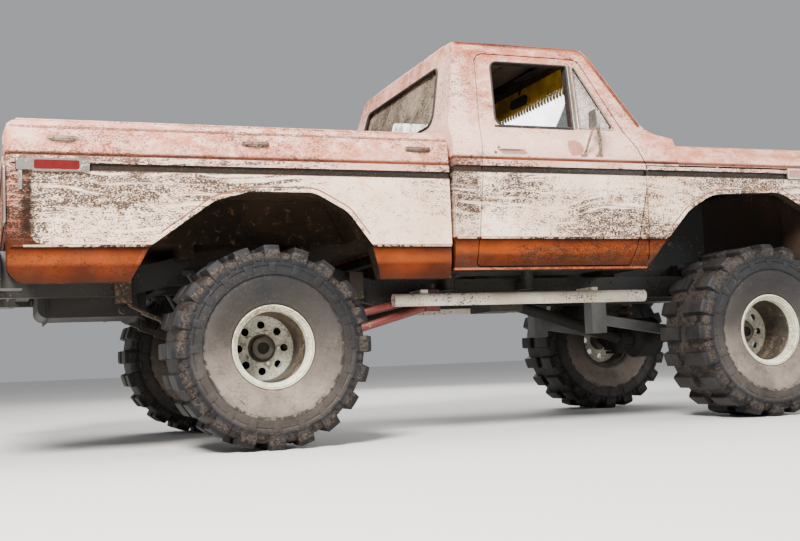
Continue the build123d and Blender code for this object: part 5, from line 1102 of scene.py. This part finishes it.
# --- Body panels, chassis and cab: the solids' shapes with eased edges
PANELS = (
    ("bed_sides", SIDE_PAINT, 1.6), ("bed_floor", TOP_PAINT, 1.2), ("tailgate", SIDE_PAINT, 1.6),
    ("cab_shell", TOP_PAINT, 1.6), ("door_right", SIDE_PAINT, 1.6), ("door_left", SIDE_PAINT, 1.6),
    ("fenders", SIDE_PAINT, 1.6), ("hood", TOP_PAINT, 1.8), ("radiator_support", NOSE, 1.2),
    ("grille", GRILLE, 1), ("bumpers", BUMPER, 2.5), ("frame", FRAME, 2),
    ("powertrain", ENGINE, 3), ("driveshafts", AXLE, 1), ("leaf_springs", SPRING, 1),
    ("radius_arms", GREY_ARM, 1.5), ("traction_bars", RED_BAR, 1),
    ("side_pipes", WHITE_PIPE, 1), ("shocks", SHOCK, 1), ("fuel_tank", TANK, 4),
    ("front_axle", AXLE, 1.5), ("rear_axle", AXLE, 1.5), ("knuckle_right", AXLE, 1.5),
    ("knuckle_left", AXLE, 1.5), ("cab_floor", CABIN, 1.5), ("dashboard", CABIN, 4),
    ("headlamps", LAMP_GLASS, 1), ("signal_lamps", AMBER, 1), ("tail_lamps", RED_LENS, 1.5),
    ("cab_glass", MUDDY, 0), ("vent_glass_right", VENT, 0), ("vent_glass_left", VENT, 0),
)
for panel in PANELS:
    eased_copy(*panel)


# --- Body trim: mouldings, arch lips, hooks, handles and seals
# Slot, name, fresh and worn colour, roughness, metal, mud, dust, rust.
TRIM = weathered("side_paint", "Side trim", "d8c2a8", "97795e", 0.42, 0.2, 0.26, 0.08, 0.12, mud_tint="2a1c12")
RUSTED = weathered("frame_steel", "Rusted fitting", "a08c78", "4a3222", 0.5, 0.3, 0.2, 0.08, 0.45, mud_tint="2c1e14")
DRIP = weathered("upper_paint", "Drip rail paint", "5c2410", "9c5638", 0.5, 0, 0.16, 0.08, 0.3)
SILVERED = weathered("mirror_metal", "Mirror glass", "b8b4b0", "8e8a86", 0.2, 0.8, 0.12, 0.25, 0)
LIP = ((-2, -9), (-2, 1.5), (2, 3.5), (13, 3.5), (18, 0.5), (18, -3), (3, -3), (3, -9))
# Profile of the dark strip that paints the shadow line beside the arch lips
LIP_SHADOW_STRIP = ((18.5, -2), (25, -2), (25, 1.4), (18.5, 1.4))
HALF_ROUND = ((-5, -3), (5, -3), (5, 1.5), (3, 4), (-3, 4), (-5, 1.5))
FLAT_STRIP = ((-7, -3), (7, -3), (7, 2.5), (5.5, 4), (-5.5, 4), (-7, 2.5))
GUTTER = ((-7, -4), (7, -4), (7, 9), (4.5, 10), (3, 4), (-3, 4), (-7, 6))
REAR_ARCH = ((-690, -90), (-572, 128, 60), (-250, 356, 170), (-70, 403, 130), (262, 403, 150), (440, 306, 170),
             (572, 128, 60), (628, -90))
FRONT_ARCH = ((-782, -60), (-603, 167, 90), (-442, 338, 240), (-272, 432, 260), (218, 452, 230), (423, 338, 200),
              (580, 167, 90), (658, -60))
WINDOW = ((1338, 806, 45), (1378, 1202, 45), (1868, 1202, 8), (1822, 806, 8))
VENT_OPENING = ((1862, 806, 8), (1906, 1196, 6), (1920, 1196, 6), (2092, 806, 8))


def bed_face(z):
    """Half width of the bed's side at a height."""
    if z <= 570:
        return side_y(z + BED_DROP)
    if z <= 700:
        return 998 - 18 * (z - 570) / 130
    return 980 - 30 * (z - 700) / 35


def on_side(points, face, out=0):
    """Flat points (x, z) laid on the body's side."""
    return [(p[0], face(p[1]) + out, p[1]) for p in points]


def arch_path(rows, face, shift=0, low=3):
    """The arch's edge on the body's side, in short steps."""
    outline = rounded(rows, closed=False, steps=8)
    fine = []
    for a, b in zip(outline, outline[1:]):
        count = max(1, int((b - a).length / 15))
        fine += [a.lerp(b, k / count) for k in range(count)]
    fine.append(outline[-1])
    return [(p.x + shift, face(p.y), p.y) for p in fine if p.y > low]


def side_mouldings():
    form = Form()
    for x0, x1, z, face in ((-1150, -590, 128, bed_face), (592, 1008, 128, bed_face), (1048, 1158, 170, side_y),
                            (2194, 2252, 170, side_y), (2264, 2360, 170, side_y)):
        form.sweep(on_side(((x0, z), (x1, z)), face), HALF_ROUND, up=OUTWARD)
    made(form.both_sides(), "side_mouldings", TRIM, bevel=0.6)
    for side, place in SIDES:
        form = Form().sweep(on_side(((1188, 170), (2168, 170)), side_y), HALF_ROUND, up=OUTWARD)
        form.moved(mirror(side))
        made(form, "door_moulding_" + place, TRIM, NODE_BODY["door_" + place], bevel=0.6)


def arch_lips():
    """The turned lips of the wheel openings, and a dark strip beside them above the moulding's height that paints the
    shadow line behind them.
    """
    # The second row lays the dark strip as a painted shadow line beside the lips
    for name, profile, finish, low, look in (("arch_lips", LIP, SIDE_PAINT, -1e3, {"bevel": 0.5}),
                                             ("arch_lip_shadow_strips", LIP_SHADOW_STRIP, DRIP, 172, {})):
        form = Form()
        for rows, face, shift in ((REAR_ARCH, bed_face, 0), (FRONT_ARCH, side_y, FRONT_AXLE)):
            form.sweep([p for p in arch_path(rows, face, shift) if p[2] > low], profile, up=OUTWARD)
        made(form.both_sides(), name, finish, smooth=50, **look)


def rope_hook(form, x):
    """A tie-down: a round-ended plate with a bar bowed out from it."""
    z = 642
    y = bed_face(z)
    plate = oblong(x - 72, x + 72, z - 15, z + 15, 13)
    form.side_plate(plate, y - 6, y + 3)
    bow = ((-60, 0), (-54, 11), (-42, 17), (-20, 19.5), (20, 19.5), (42, 17), (54, 11), (60, 0))
    form.tube([(x + u, y + v, z) for u, v in bow], 5.5, sides=12)
    for end in (-64, 64):
        form.turned([(y + 2, 5), (y + 5, 4.5), (y + 6.5, 2.5), (y + 7, 0)], centre=(x + end, 0, z), sides=14)


def bed_fittings():
    form = Form()
    for x in (-968, -35, 845):
        rope_hook(form, x)
    made(form.both_sides(), "rope_hooks", RUSTED, bevel=0.8)
    rail = Form().tube([(-1175, 944, 737), (1006, 944, 737)], 6, sides=12)
    rail.sweep([(-1165, 981.5, 696), (1006, 981.5, 696)], ((-2.5, -2), (2.5, -2), (2.5, 2.5), (-2.5, 2.5)),
               up=OUTWARD)
    made(rail.both_sides(), "rail_beads", TOP_PAINT)
    caps = Form()
    for x in (-1090, -90, 900):
        outline = oblong(x - 41, x + 41, 838, 888, 7)
        inner = oblong(x - 33, x + 33, 846, 880, 5)
        steps = ((outline, 734.5), (outline, 737.5), (inner, 737.5), (inner, 728))
        caps.loft([[(p.x, p.y, z) for p in ring] for ring, z in steps], caps=False)
    made(caps.both_sides(), "stake_pocket_rims", DRIP, bevel=0.5)


def marker_bezels():
    form = Form().frame_plate(oblong(-1110, -846, 480, 544, 14, 6), oblong(-1098, -893, 490, 534, 9, 6), 1000, 1014)
    form.frame_plate(oblong(-893, -856, 490, 534, 9, 6), oblong(-885, -864, 500, 524, 9, 6), 1004, 1010)
    form.side_plate(oblong(-1178, -1106, 486, 538, 10, 6), 998, 1014)
    form.side_plate(oblong(-1170, -1150, 392, 492, 8, 6), 992, 1008)
    form.frame_plate(oblong(3245, 3415, 530, 594, 10, 6), oblong(3256, 3404, 540, 584, 7, 6), 1000, 1014)
    made(form.both_sides(), "marker_bezels", CHROME, bevel=1.5)


def cab_edges():
    form = Form()
    roof_line = on_side(((1190, 1312), (1500, 1314), (1950, 1313), (1988, 1300)), side_y, 1)
    pillar = [(x, side_y(z) + 1, z) for x, z in ((2030, 1240), (2146, 1036), (2262, 832))]
    form.sweep(roof_line + pillar, GUTTER, up=OUTWARD)
    made(form.both_sides(), "drip_rails", DRIP, bevel=0.8, smooth=45)
    seals = Form()
    back = rounded(((-690, 850, 60), (-610, 1205, 60), (610, 1205, 60), (690, 850, 60)), steps=8)
    seals.tube([(1061 + (p.y - 850) * 0.2355, p.x, p.y) for p in back], 9, sides=10, closed=True)
    screen = rounded(((-800, 838, 70), (-675, 1272, 70), (675, 1272, 70), (800, 838, 70)), steps=8)
    seals.tube([(2279.4 - (p.y - 838) * 0.5695, p.x, p.y) for p in screen], 9, sides=10, closed=True)
    made(seals, "window_seals", BLACK_RUBBER, smooth=60)


def wipers():
    def glass_at(y, z, out):
        """A point above the windscreen's slope."""
        return Vector((2300 - (z - 800) * 0.5695 + 0.869 * out, y, z + 0.495 * out))
    form = Form()
    for y in (-330, -150):
        pivot = Vector((2322, y, 800))
        joint = glass_at(y + 250, 905, 16)
        form.turned([(790, 17), (812, 15), (818, 8), (819, 0)], centre=(pivot.x, y, 0), axis="Z", sides=20)
        form.tube([pivot + Vector((0, 0, 12)), pivot.lerp(joint, 0.35) + Vector((8, 0, 10)), joint], 4, sides=8)
        blade = [glass_at(joint.y + d, 905 + d * 0.16, 9) for d in (-215, -100, 0, 100, 215)]
        form.sweep(blade, ((-3, -5), (3, -5), (4, 3), (-4, 3)), up=(0.869, 0, 0.495))
    made(form, "wipers", BLACK_RUBBER, bevel=0.5)
    slot = Form().sweep([(2352, -700, 799), (2392, -700, 788)], ((-13, -2), (13, -2), (9, 4), (-9, 4)),
                        up=(0.2, 0, 1))
    made(Form().add(repeated(slot, 36, step=(0, 40, 0))), "cowl_louvres", TOP_PAINT, bevel=0.6)


def door_fittings(side, place):
    body = NODE_BODY["door_" + place]
    flip = mirror(side)
    seal = Form().tube(on_side(rounded(WINDOW, steps=6), side_y, 1), 5.5, sides=10, closed=True)
    seal.sweep(on_side(((1330, 800), (1826, 800)), side_y), FLAT_STRIP, up=OUTWARD)
    made(seal.moved(flip), "window_seal_" + place, BLACK_RUBBER, body, smooth=60)
    vent = Form().tube(on_side(rounded(VENT_OPENING, steps=4), side_y, 1.5), 5, sides=10, closed=True)
    vent.sweep(on_side(((1841, 800), (1886, 1204)), side_y),
               ((-11, -3), (11, -3), (11, 2), (8, 5), (-8, 5), (-11, 2)), up=OUTWARD)
    made(vent.moved(flip), "vent_frame_" + place, CHROME, body, bevel=0.6)
    grip = Form()
    y = side_y(668)
    grip.side_plate(oblong(1314, 1470, 653, 683, 13, 6), y - 4, y + 3)
    grip.side_plate(oblong(1318, 1466, 657, 679, 10, 6), y, y + 27)
    grip.turned([(y + 26, 8), (y + 31, 8), (y + 32, 6.5), (y + 32, 0)], centre=(1334, 0, 668), sides=20)
    grip.turned([(y - 2, 11), (y + 3, 10), (y + 4, 8), (y + 4, 0)], centre=(1300, 0, 640), sides=20)
    made(grip.moved(flip), "door_handle_" + place, RUSTED, body, bevel=3)


def outside_mirror(side, place):
    """A head on a strap and a strut, with its glass facing back."""
    body = NODE_BODY["mirror_" + place]
    flip = mirror(side)
    form = Form().cross_plate(oblong(1029, 1121, 773, 883, 18), 1870, 1893)
    form.turned([(1893, 30), (1903, 26), (1908, 14), (1909, 0)], centre=(0, 1075, 828), axis="X", sides=28)
    made(form.moved(flip), "mirror_head_" + place, CHROME, body, bevel=4, replaces=("mirror_" + place,))
    glass = Form().cross_plate(oblong(1034, 1116, 778, 878, 15), 1867.5, 1870.5)
    made(glass.moved(flip), "mirror_glass_" + place, SILVERED, body, bevel=0.8)
    arms = Form().side_plate(oblong(1925, 1975, 629, 647, 7, 6), 990, 997)
    arms.sweep([(1950, 995, 640), (1946, 1018, 668), (1925, 1050, 730), (1902, 1072, 790), (1898, 1075, 828)],
               ((-11, -2.5), (11, -2.5), (11, 2.5), (-11, 2.5)), up=(0, 1, -0.4))
    arms.side_plate(oblong(1828, 1872, 628, 646, 7, 6), 990, 997)
    arms.tube([(1850, 994, 638), (1856, 1012, 664), (1884, 1068, 806), (1890, 1075, 828)], 7, sides=12)
    arms.loft([[(1894, 1040, 858), (1894, 1110, 858), (1900, 1110, 862), (1900, 1040, 862)],
               [(1902, 1068, 806), (1902, 1082, 806), (1908, 1082, 808), (1908, 1068, 808)]])
    made(arms.moved(flip), "mirror_arms_" + place, RUSTED, body, bevel=0.8)


side_mouldings()
arch_lips()
bed_fittings()
marker_bezels()
cab_edges()
wipers()
for side, place in SIDES:
    door_fittings(side, place)
    outside_mirror(side, place)


# --- Front and rear: lamps, grille and tailgate
def front_details():
    rings = Form()
    for side in (-1, 1):
        rings.turned([(3690, 90), (3694, 108), (3702, 108), (3706, 102), (3704, 94), (3698, 88.5), (3689, 88)],
                     centre=(0, side * 748, 400), axis="X", sides=48, closed=True)
    made(rings, "headlamp_rings", CHROME, smooth=50)
    glass = Form()
    for side in (-1, 1):
        glass.turned([(3688.5, 87), (3694, 85), (3702, 72), (3707, 50), (3709, 25), (3709.5, 0)],
                     centre=(0, side * 748, 400), axis="X", sides=40)
    made(glass, "headlamp_glasses", LAMP_GLASS, smooth=60)
    fins = Form()
    fin = Form().box((3658, -604, 246), (3684, -601, 544))
    fins.add(repeated(fin, 41, step=(0, 30.2, 0)))
    made(fins, "grille_fins", GRILLE)
    frame_bar = Form()
    outline = oblong(-905, 905, 230, 560, 30, 6)
    frame_bar.tube(standing(3695, outline), 8, sides=12, closed=True)
    for y in (-636, 636):
        frame_bar.tube([(3695, y, 232), (3695, y, 558)], 6, sides=12)
    for side in (-1, 1):
        signal = oblong(side * 748 - 99, side * 748 + 99, 231, 293, 12, 6)
        frame_bar.tube(standing(3695, signal), 5, sides=10, closed=True)
    made(frame_bar, "grille_surround", CHROME, smooth=50)
    bolts = Form()
    for side in (-1, 1):
        for y in (300, 640):
            bolts.turned([(3780, 17), (3787, 15), (3791, 9), (3792, 0)], centre=(0, side * y, 30), axis="X", sides=20)
    made(bolts, "bumper_bolts", CHROME, smooth=50)


def rear_details():
    bezels = Form()
    for side in (-1, 1):
        outer = oblong(side * 935 - 56, side * 935 + 56, 240, 510, 14, 6)
        bezels.tube(standing(-1230, outer), 7, sides=12, closed=True)
        bezels.tube([(-1240, side * 889, 330), (-1240, side * 981, 330)], 4, sides=10)
    made(bezels, "tail_lamp_bezels", CHROME, smooth=50)
    panel = Form().sweep(standing(-1228, oblong(-640, 640, 270, 610, 40, 8)),
                ((-14, -2), (14, -2), (9, 5), (-9, 5)), closed=True, up=(-1, 0, 0))
    made(panel, "tailgate_panel", SIDE_PAINT, NODE_BODY["tailgate"], bevel=1)
    latch = Form().cross_plate(oblong(-95, 95, 634, 694, 12), -1232, -1226)
    latch.cross_plate(oblong(-70, 70, 648, 678, 9), -1246, -1230)
    for side in (-1, 1):
        latch.box((-1234, side * 776 - 22, 640), (-1226, side * 776 + 22, 690))
        latch.tube([(-1205, side * 700, 181), (-1205, side * 812, 181)], 15, sides=16)
    made(latch, "tailgate_latch", RUSTED, NODE_BODY["tailgate"], bevel=2)
    tread = Form()
    rib = ((-5, -2), (5, -2), (2.5, 4), (-2.5, 4))
    bar = Form().sweep([(-1380, -600, 118), (-1270, -600, 118)], rib, up=(0, 0, 1))
    tread.add(repeated(bar, 49, step=(0, 25, 0)))
    for side in (-1, 1):
        for y in (250, 560, 820):
            tread.turned([(-1406, 0), (-1405, 9), (-1402, 15), (-1396, 17)], centre=(0, side * y, 30), axis="X",
                         sides=20)
    made(tread, "step_tread", BUMPER, bevel=0.5)


front_details()
rear_details()


# --- Chassis details: springs, clamps, bolts, straps and links
def bolt_heads(form, places, outward, radius=9, height=7):
    """Hex heads at places (x, y, z), their tops facing outward along X, Y or Z."""
    turn = Vector((0, 1, 0)).rotation_difference(Vector(outward)).to_matrix().to_4x4()
    for place in places:
        form.add(hex_head(radius, height).mesh("bolt"), Matrix.Translation(place) @ turn)


def coil_pair():
    form = Form()
    for side in (-1, 1):
        y = side * 480
        spring = wound(turns=6.5, radius=56, height=374, wire=11.5)
        form.add(spring, Matrix.Translation((FRONT_AXLE, y, -324)))
        for rows in ([(-380, 0), (-380, 71), (-342, 71), (-336, 66), (-336, 0)],
                     [(46, 0), (46, 66), (50, 70), (60, 70), (60, 0)]):
            form.turned(rows, centre=(FRONT_AXLE, y, 0), axis="Z", sides=40)
        form.box((FRONT_AXLE - 90, side * 430, 60), (FRONT_AXLE + 90, side * 548, 75))
        form.box((FRONT_AXLE - 90, side * 430, -90), (FRONT_AXLE + 90, side * 436, 60))
    made(form, "coil_springs_wound", SPRING, bevel=1.2, smooth=50, replaces=("coil_springs",))


def spring_clamps():
    form = Form()
    under = [(49 * cos(a), -380 + 49 * sin(a)) for a in [tau / 2 * (1 + k / 10) for k in range(11)]]
    for side in (-1, 1):
        for across in (430, 490):
            bow = [(-49, -258)] + under + [(49, -258)]
            form.tube([(x, side * across, z) for x, z in bow], 6.5)
            for x in (-49, 49):
                place = Matrix.Translation((x, side * across, -276)) @ Matrix.Rotation(tau / 4, 4, "X")
                form.add(hex_head(12, 11).mesh("nut"), place)
        for x, z in ((-420, -196), (-250, -262), (250, -262), (420, -196)):
            form.cross_plate(oblong(side * 460 - 38, side * 460 + 38, z - 16, z + 22, 5, 3), x - 13, x + 13)
        for x in (-640, 640):
            bush = [(side * 422, 0), (side * 422, 24), (side * 498, 24), (side * 498, 0)]
            form.turned(bush, centre=(x, 0, -146), sides=24)
            bolt_heads(form, ((x, side * 498, -146),), (0, side, 0), 15, 12)
    made(form, "spring_clamps", AXLE, bevel=0.8, smooth=45)


def axle_details():
    form = Form()
    for x, y, facing in ((0, 0, -1), (FRONT_AXLE, 250, 1)):
        radius = 150 if facing < 0 else 135
        rows = [(x + facing * 70, radius - 26), (x + facing * 70, radius + 3), (x + facing * 82, radius + 3),
                (x + facing * 82, radius - 26)]
        form.turned(rows, centre=(0, y, -AXLE_DROP), axis="X", sides=40, closed=True)
        form_ring = Form()
        for k in range(12):
            a = tau * k / 12
            place = (x + facing * 82, y + (radius - 9) * cos(a), -AXLE_DROP + (radius - 9) * sin(a))
            bolt_heads(form_ring, (place,), (facing, 0, 0), 8, 7)
        form.add(form_ring.mesh("cover_bolts"))
    for side in (-1, 1):
        for y in (662, 676, 690):
            form.turned([(side * y - 3, 146), (side * y - 3, 154), (side * y + 3, 154), (side * y + 3, 146)],
                        centre=(0, 0, -AXLE_DROP), sides=56, closed=True)
        form.tube([(24, side * 40, -332), (40, side * 120, -336), (40, side * 560, -336), (30, side * 640, -330)], 4,
                  sides=8)
    made(form, "axle_details", AXLE, bevel=0.6, smooth=45)


def frame_details():
    form = Form()
    for side in (-1, 1):
        for x in (-1150, -1090, -700, -655, 640, 700, 820, 960, 1060, 1340, 1460, 1880, 1940, 2180, 2330, 2600, 2700,
                  3300, 3420, 3560):
            top = 60 if x < -640 else (-8 if x > 760 else 30)
            bolt_heads(form, ((x, side * 430, top - 34), (x, side * 430, top - 96)), (0, side, 0), 9, 6)
        for x in (-560, -300, -150, 30, 190, 420):
            bolt_heads(form, ((x, side * 430, 74 if x > -500 else 60),), (0, side, 0), 8, 6)
        for x, z in ((1060, -112), (1060, -56), (8, -432)):
            bolt_heads(form, ((x, side * 586, z),), (0, side, 0), 13, 10)
        bolt_heads(form, ((2230, side * 401, -265),), (0, side, 0), 15, 11)
        bolt_heads(form, ((2200, side * 431, -150), (2260, side * 431, -150)), (0, side, 0), 9, 7)
    made(form, "frame_bolts", FRAME, bevel=0.6)
    strap = Form()
    for x in (-1010, -550):
        outline = oblong(-303, 303, -178, 43, 52, 6)
        strap.sweep([(x, p.x, p.y) for p in outline], ((-20, -1), (20, -1), (20, 2.5), (-20, 2.5)), closed=True)
    strap.turned([(-1062, 16), (-1068, 16), (-1068, 30), (-1074, 30), (-1074, 0)], centre=(0, 180, -60), axis="X",
                 sides=24)
    made(strap, "tank_straps", FRAME, bevel=0.6, smooth=45)


def link_pair():
    """Grey links from the rails down to the axle, each with a pale clevis at its head."""
    link, clevis = Form(), Form()
    for side in (-1, 1):
        y = side * 600
        top, low = Vector((-163, y, 78)), Vector((-34, y, -170))
        link.tube([top + (low - top) * 0.1, low], 12, sides=16)
        link.tube([top + (low - top) * 0.12, top + (low - top) * 0.24], 17, sides=6)
        link.tube([low, (-10, y, -330)], 12, sides=16)
        link.box((-190, side * 430, 84), (-136, side * 622, 92))
        link.box((-36, side * 578, -352), (22, side * 622, -322))
        for across in (-15, 11):
            clevis.side_plate(oblong(-180, -146, 66, 96, 10), y + across, y + across + 4)
        clevis.turned([(y - 22, 0), (y - 22, 7), (y + 22, 7), (y + 22, 0)], centre=(-163, 0, 80), sides=16)
        clevis.tube([top, top + (low - top) * 0.13], 10, sides=14)
    made(link, "grey_links", GREY_ARM, bevel=0.8, smooth=45)
    made(clevis, "white_clevises", WHITE_PIPE, bevel=0.8, smooth=45)


coil_pair()
spring_clamps()
axle_details()
frame_details()
link_pair()


# --- Cab: padded bench, dash, wheel, linings and the yellow fringe
HEADLINER = weathered("seat_cloth", "Headliner board", "6a5e50", "8c7d6c", 0.85, 0, 0.06, 0.2, 0, grain=600)
FRINGE = weathered("seat_cloth", "Yellow fringe", "a47a08", "e0b028", 0.8, 0, 0.05, 0.1, 0, grain=800)
DIAL = weathered("cabin_black", "Dial face", "0c0c0c", "181818", 0.3, 0, 0, 0.2, 0)


def puffed(form, name, cap, voxel=0.012, pressure=4):
    """Remeshes a pad evenly and lets the air in it swell its cloth, each point by no more than the cap."""
    holder = placed("holder", form.moved(STATION).mesh(name))
    even = holder.modifiers.new("Even mesh", "REMESH")
    even.mode = "VOXEL"
    even.voxel_size = voxel
    plain = baked(holder, name)
    holder.data = plain
    cloth = holder.modifiers.new("Cloth", "CLOTH")
    cloth.settings.use_pressure = True
    cloth.settings.uniform_pressure_force = pressure
    cloth.settings.effector_weights.gravity = 0
    cloth.settings.quality = 5
    rest = [v.co.copy() for v in plain.vertices]
    for step in range(1, 21):
        bpy.context.scene.frame_set(step)
    plain = baked(holder, name)
    bpy.context.scene.frame_set(1)
    for vert, start in zip(plain.vertices, rest):
        move = vert.co - start
        if move.length > cap:
            vert.co = start + move.normalized() * cap
    bpy.data.objects.remove(holder)
    return plain


def sew_channels(mesh, lines, axis, facing, depth=0.011, half=0.016):
    """Draws the pad in along its seams: on the side that faces the sitter."""
    for vert in mesh.vertices:
        for at in lines:
            away = abs(vert.co[axis] - at)
            if away < half * 2.5:
                pull = depth * exp(-(away / half) ** 2)
                lean = max(0, vert.normal.dot(facing))
                vert.co -= facing * pull * lean


def bench():
    half = 722
    cushion_rows = ((1300, 214, 34), (1742, 206, 40), (1748, 352, 52), (1290, 340, 30))
    back_rows = ((1218, 250, 30), (1338, 250, 30), (1266, 846, 44), (1158, 846, 36))
    low, back = [Form().side_plate(rounded(rows, steps=4), -half, half) for rows in (cushion_rows, back_rows)]
    seams = [k * 0.145 for k in range(-4, 5)]
    for form, name, facing in ((low, "bench_cushion", Vector((0, 0, 1))),
                               (back, "bench_back", Vector((0.985, 0, 0.17)))):
        bmesh.ops.recalc_face_normals(form.bm, faces=form.bm.faces)
        ends = [e for e in form.bm.edges if e.calc_face_angle(0) > 0.8 and abs(e.verts[0].co.y - e.verts[1].co.y) < 1]
        bmesh.ops.bevel(form.bm, geom=ends, offset=26, segments=3, affect="EDGES", profile=0.6)
        mesh = puffed(form, name, 0.016)
        sew_channels(mesh, seams, 1, facing)
        piece = shown(name, mesh, "chassis", SEAT_CLOTH, smooth=70,
                      replaces=("bench_seat",) if name == "bench_cushion" else ())
        fine = piece.modifiers.new("Smooth cloth", "SUBSURF")
        fine.levels = 1
        fine.render_levels = 1
    base = Form().box((1240, -700, 156), (1740, 700, 208))
    for side in (-1, 1):
        base.box((1290, side * 560 - 25, 62), (1700, side * 560 + 25, 156))
    made(base, "bench_frame", CABIN, bevel=4)


def steering_wheel():
    lean = radians(28)
    ahead = Vector((cos(lean), 0, -sin(lean)))
    side = Vector((0, -1, 0))
    up = side.cross(ahead)
    turn = Matrix((side, ahead, up)).transposed().to_4x4()
    place = Matrix.Translation((1830, 380, 690)) @ turn
    form = Form()
    grip = [(12 * cos(tau * k / 14), 204 + 12 * sin(tau * k / 14)) for k in range(14)]
    form.turned(grip, sides=80, closed=True)
    form.turned([(-16, 0), (-14, 34), (-4, 44), (22, 46), (34, 40), (36, 27), (236, 27), (236, 0)], sides=40)
    for angle in (radians(8), radians(172), radians(270)):
        hub = Vector((36 * cos(angle), 14, 36 * sin(angle)))
        rim = Vector((198 * cos(angle), 0, 198 * sin(angle)))
        form.sweep([hub, hub.lerp(rim, 0.5) + Vector((0, 4, 0)), rim], ((-17, -4), (17, -4), (14, 4), (-14, 4)),
                   up=(0, -1, 0))
    form.moved(place)
    made(form, "steering_wheel_spoked", CABIN, NODE_BODY["steering_wheel"], bevel=1.5, smooth=50,
         replaces=("steering_wheel",))


def dash_details():
    trim = Form()
    hood = rounded(((190, 604, 26), (640, 604, 26), (640, 716, 30), (190, 716, 30)), steps=5)
    trim.tube(standing(1961, hood), 9, sides=12, closed=True)
    for y in (290, 420, 545):
        trim.turned([(1955, 46), (1950, 52), (1950, 56), (1960, 58), (1964, 52), (1964, 46)], centre=(0, y, 662),
                    axis="X", sides=36, closed=True)
    radio = oblong(-95, 95, 580, 650, 8)
    trim.tube(standing(1961, radio), 4, sides=8, closed=True)
    for y in (-72, 72):
        trim.turned([(1964, 15), (1940, 13), (1938, 9), (1938, 0)], centre=(0, y, 615), axis="X", sides=24)
    glove = oblong(-640, -220, 560, 690, 20, 4)
    trim.tube(standing(1962, glove), 4, sides=8, closed=True)
    made(trim, "dash_trim", CHROME, smooth=50)
    faces = Form()
    for y in (290, 420, 545):
        faces.turned([(1964, 0), (1964, 47), (1957, 47), (1957, 0)], centre=(0, y, 662), axis="X", sides=36)
    faces.cross_plate(rounded(((-62, 592, 6), (52, 592, 6), (52, 640, 6), (-52, 640, 6))), 1955, 1963)
    made(faces, "dials", DIAL, bevel=1)
    pedals = Form()
    for y, wide in ((300, 46), (440, 46), (170, 30)):
        pad = oblong(y - wide, y + wide, 210, 272, 12)
        pedals.cross_plate(pad, 2086, 2100)
        pedals.tube([(2098, y, 246), (2130, y, 330), (2150, y, 470)], 9, sides=10)
    pedals.tube([(1660, 0, 146), (1655, 4, 260), (1630, 14, 380), (1612, 20, 430)], 10, sides=14)
    pedals.turned([(424, 0), (426, 16), (440, 25), (456, 25), (470, 15), (474, 0)], centre=(1610, 21, 0), axis="Z",
                  sides=28)
    pedals.turned([(148, 70), (158, 66), (190, 34), (214, 18), (214, 0)], centre=(1660, 0, 0), axis="Z", sides=28)
    made(pedals, "pedals_and_lever", CABIN, bevel=1.5, smooth=50)


def cab_linings():
    liner = Form()
    for x0, x1 in ((1212, 1450), (1466, 1704), (1720, 1950)):
        outline = oblong(x0, x1, -655, 655, 24, 4)
        liner.loft([[(p.x, p.y, z) for p in outline] for z in (1322, 1333)])
    made(liner, "headliner_panels", HEADLINER, bevel=3)
    visors = Form()
    for side in (-1, 1):
        board = oblong(side * 400 - 205, side * 400 + 205, 0, 150, 26, 5)
        visors.loft([[(1976 - p.y * 0.93 + dx, p.x, 1296 - p.y * 0.26 + dz) for p in board] for dx,
                     dz in ((0, 0), (-3, 12))])
        visors.tube([(1982, side * 400 - 195, 1304), (1982, side * 400 + 195, 1304)], 5, sides=10)
    visors.tube([(1994, 0, 1290), (1975, 0, 1230)], 6, sides=10)
    glass = oblong(-112, 112, 1150, 1212, 26, 5)
    visors.cross_plate(glass, 1962, 1978)
    made(visors, "visors_and_mirror", CABIN, bevel=2.5)
    for side, place in SIDES:
        panel = Form().side_plate(oblong(1260, 2070, 330, 700, 40, 6), 873, 885)
        panel.side_plate(oblong(1450, 1790, 458, 500, 18, 6), 828, 876)
        panel.turned([(876, 0), (876, 24), (862, 24), (858, 18), (858, 0)], centre=(1890, 0, 560), sides=24)
        panel.sweep([(1890, 862, 560), (1850, 856, 600), (1812, 850, 632)], ((-7, -4), (7, -4), (7, 4), (-7, 4)),
                    up=(0, -1, 0))
        panel.turned([(852, 0), (852, 11), (822, 14), (818, 9), (818, 0)], centre=(1812, 0, 632), sides=18)
        panel.moved(mirror(side))
        made(panel, "door_lining_" + place, CABIN, NODE_BODY["door_" + place], bevel=3)


def header_fringe():
    """A gold braid hung along the windscreen's header, with its tassels."""
    columns, drop = 220, 5
    rows = []
    for j in range(drop):
        down = j / (drop - 1)
        across = [-640 + 1280 * i / columns for i in range(columns + 1)]
        rows.append([(2004 + 4 * sin(tau * y / 64) * (0.4 + 0.6 * down), y,
                      1284 - 52 * down) for y in across])
    braid = Form().loft(rows, closed=False)
    area = sum(f.calc_area() for f in braid.bm.faces) / 1.0e6
    sheet = made(braid, "fringe_braid", FRINGE, smooth=80)
    strands = Form()
    tassels = ((92, 5), (128, -4), (104, 9), (140, 3), (84, -7), (118, 6), (132, -2), (98, -6))
    for k, (length, lean) in enumerate(tassels):
        y = -640 + 5 * k
        ends = ((0, 0, 0), (0.35, 1.5, 0.15), (0.7, -1.5, 0.55), (1, 0.5, 1))
        path = [(2004 + sway, y + lean * part, 1236 - length * down) for down, sway, part in ends]
        strands.add(repeated(Form().tube(path, 3.1, sides=6), 32, step=(0, 40, 0)))
    tassels = made(strands, "fringe_tassels", FRINGE, smooth=60)
    area / 0.052


bench()
steering_wheel()
dash_details()
cab_linings()
header_fringe()
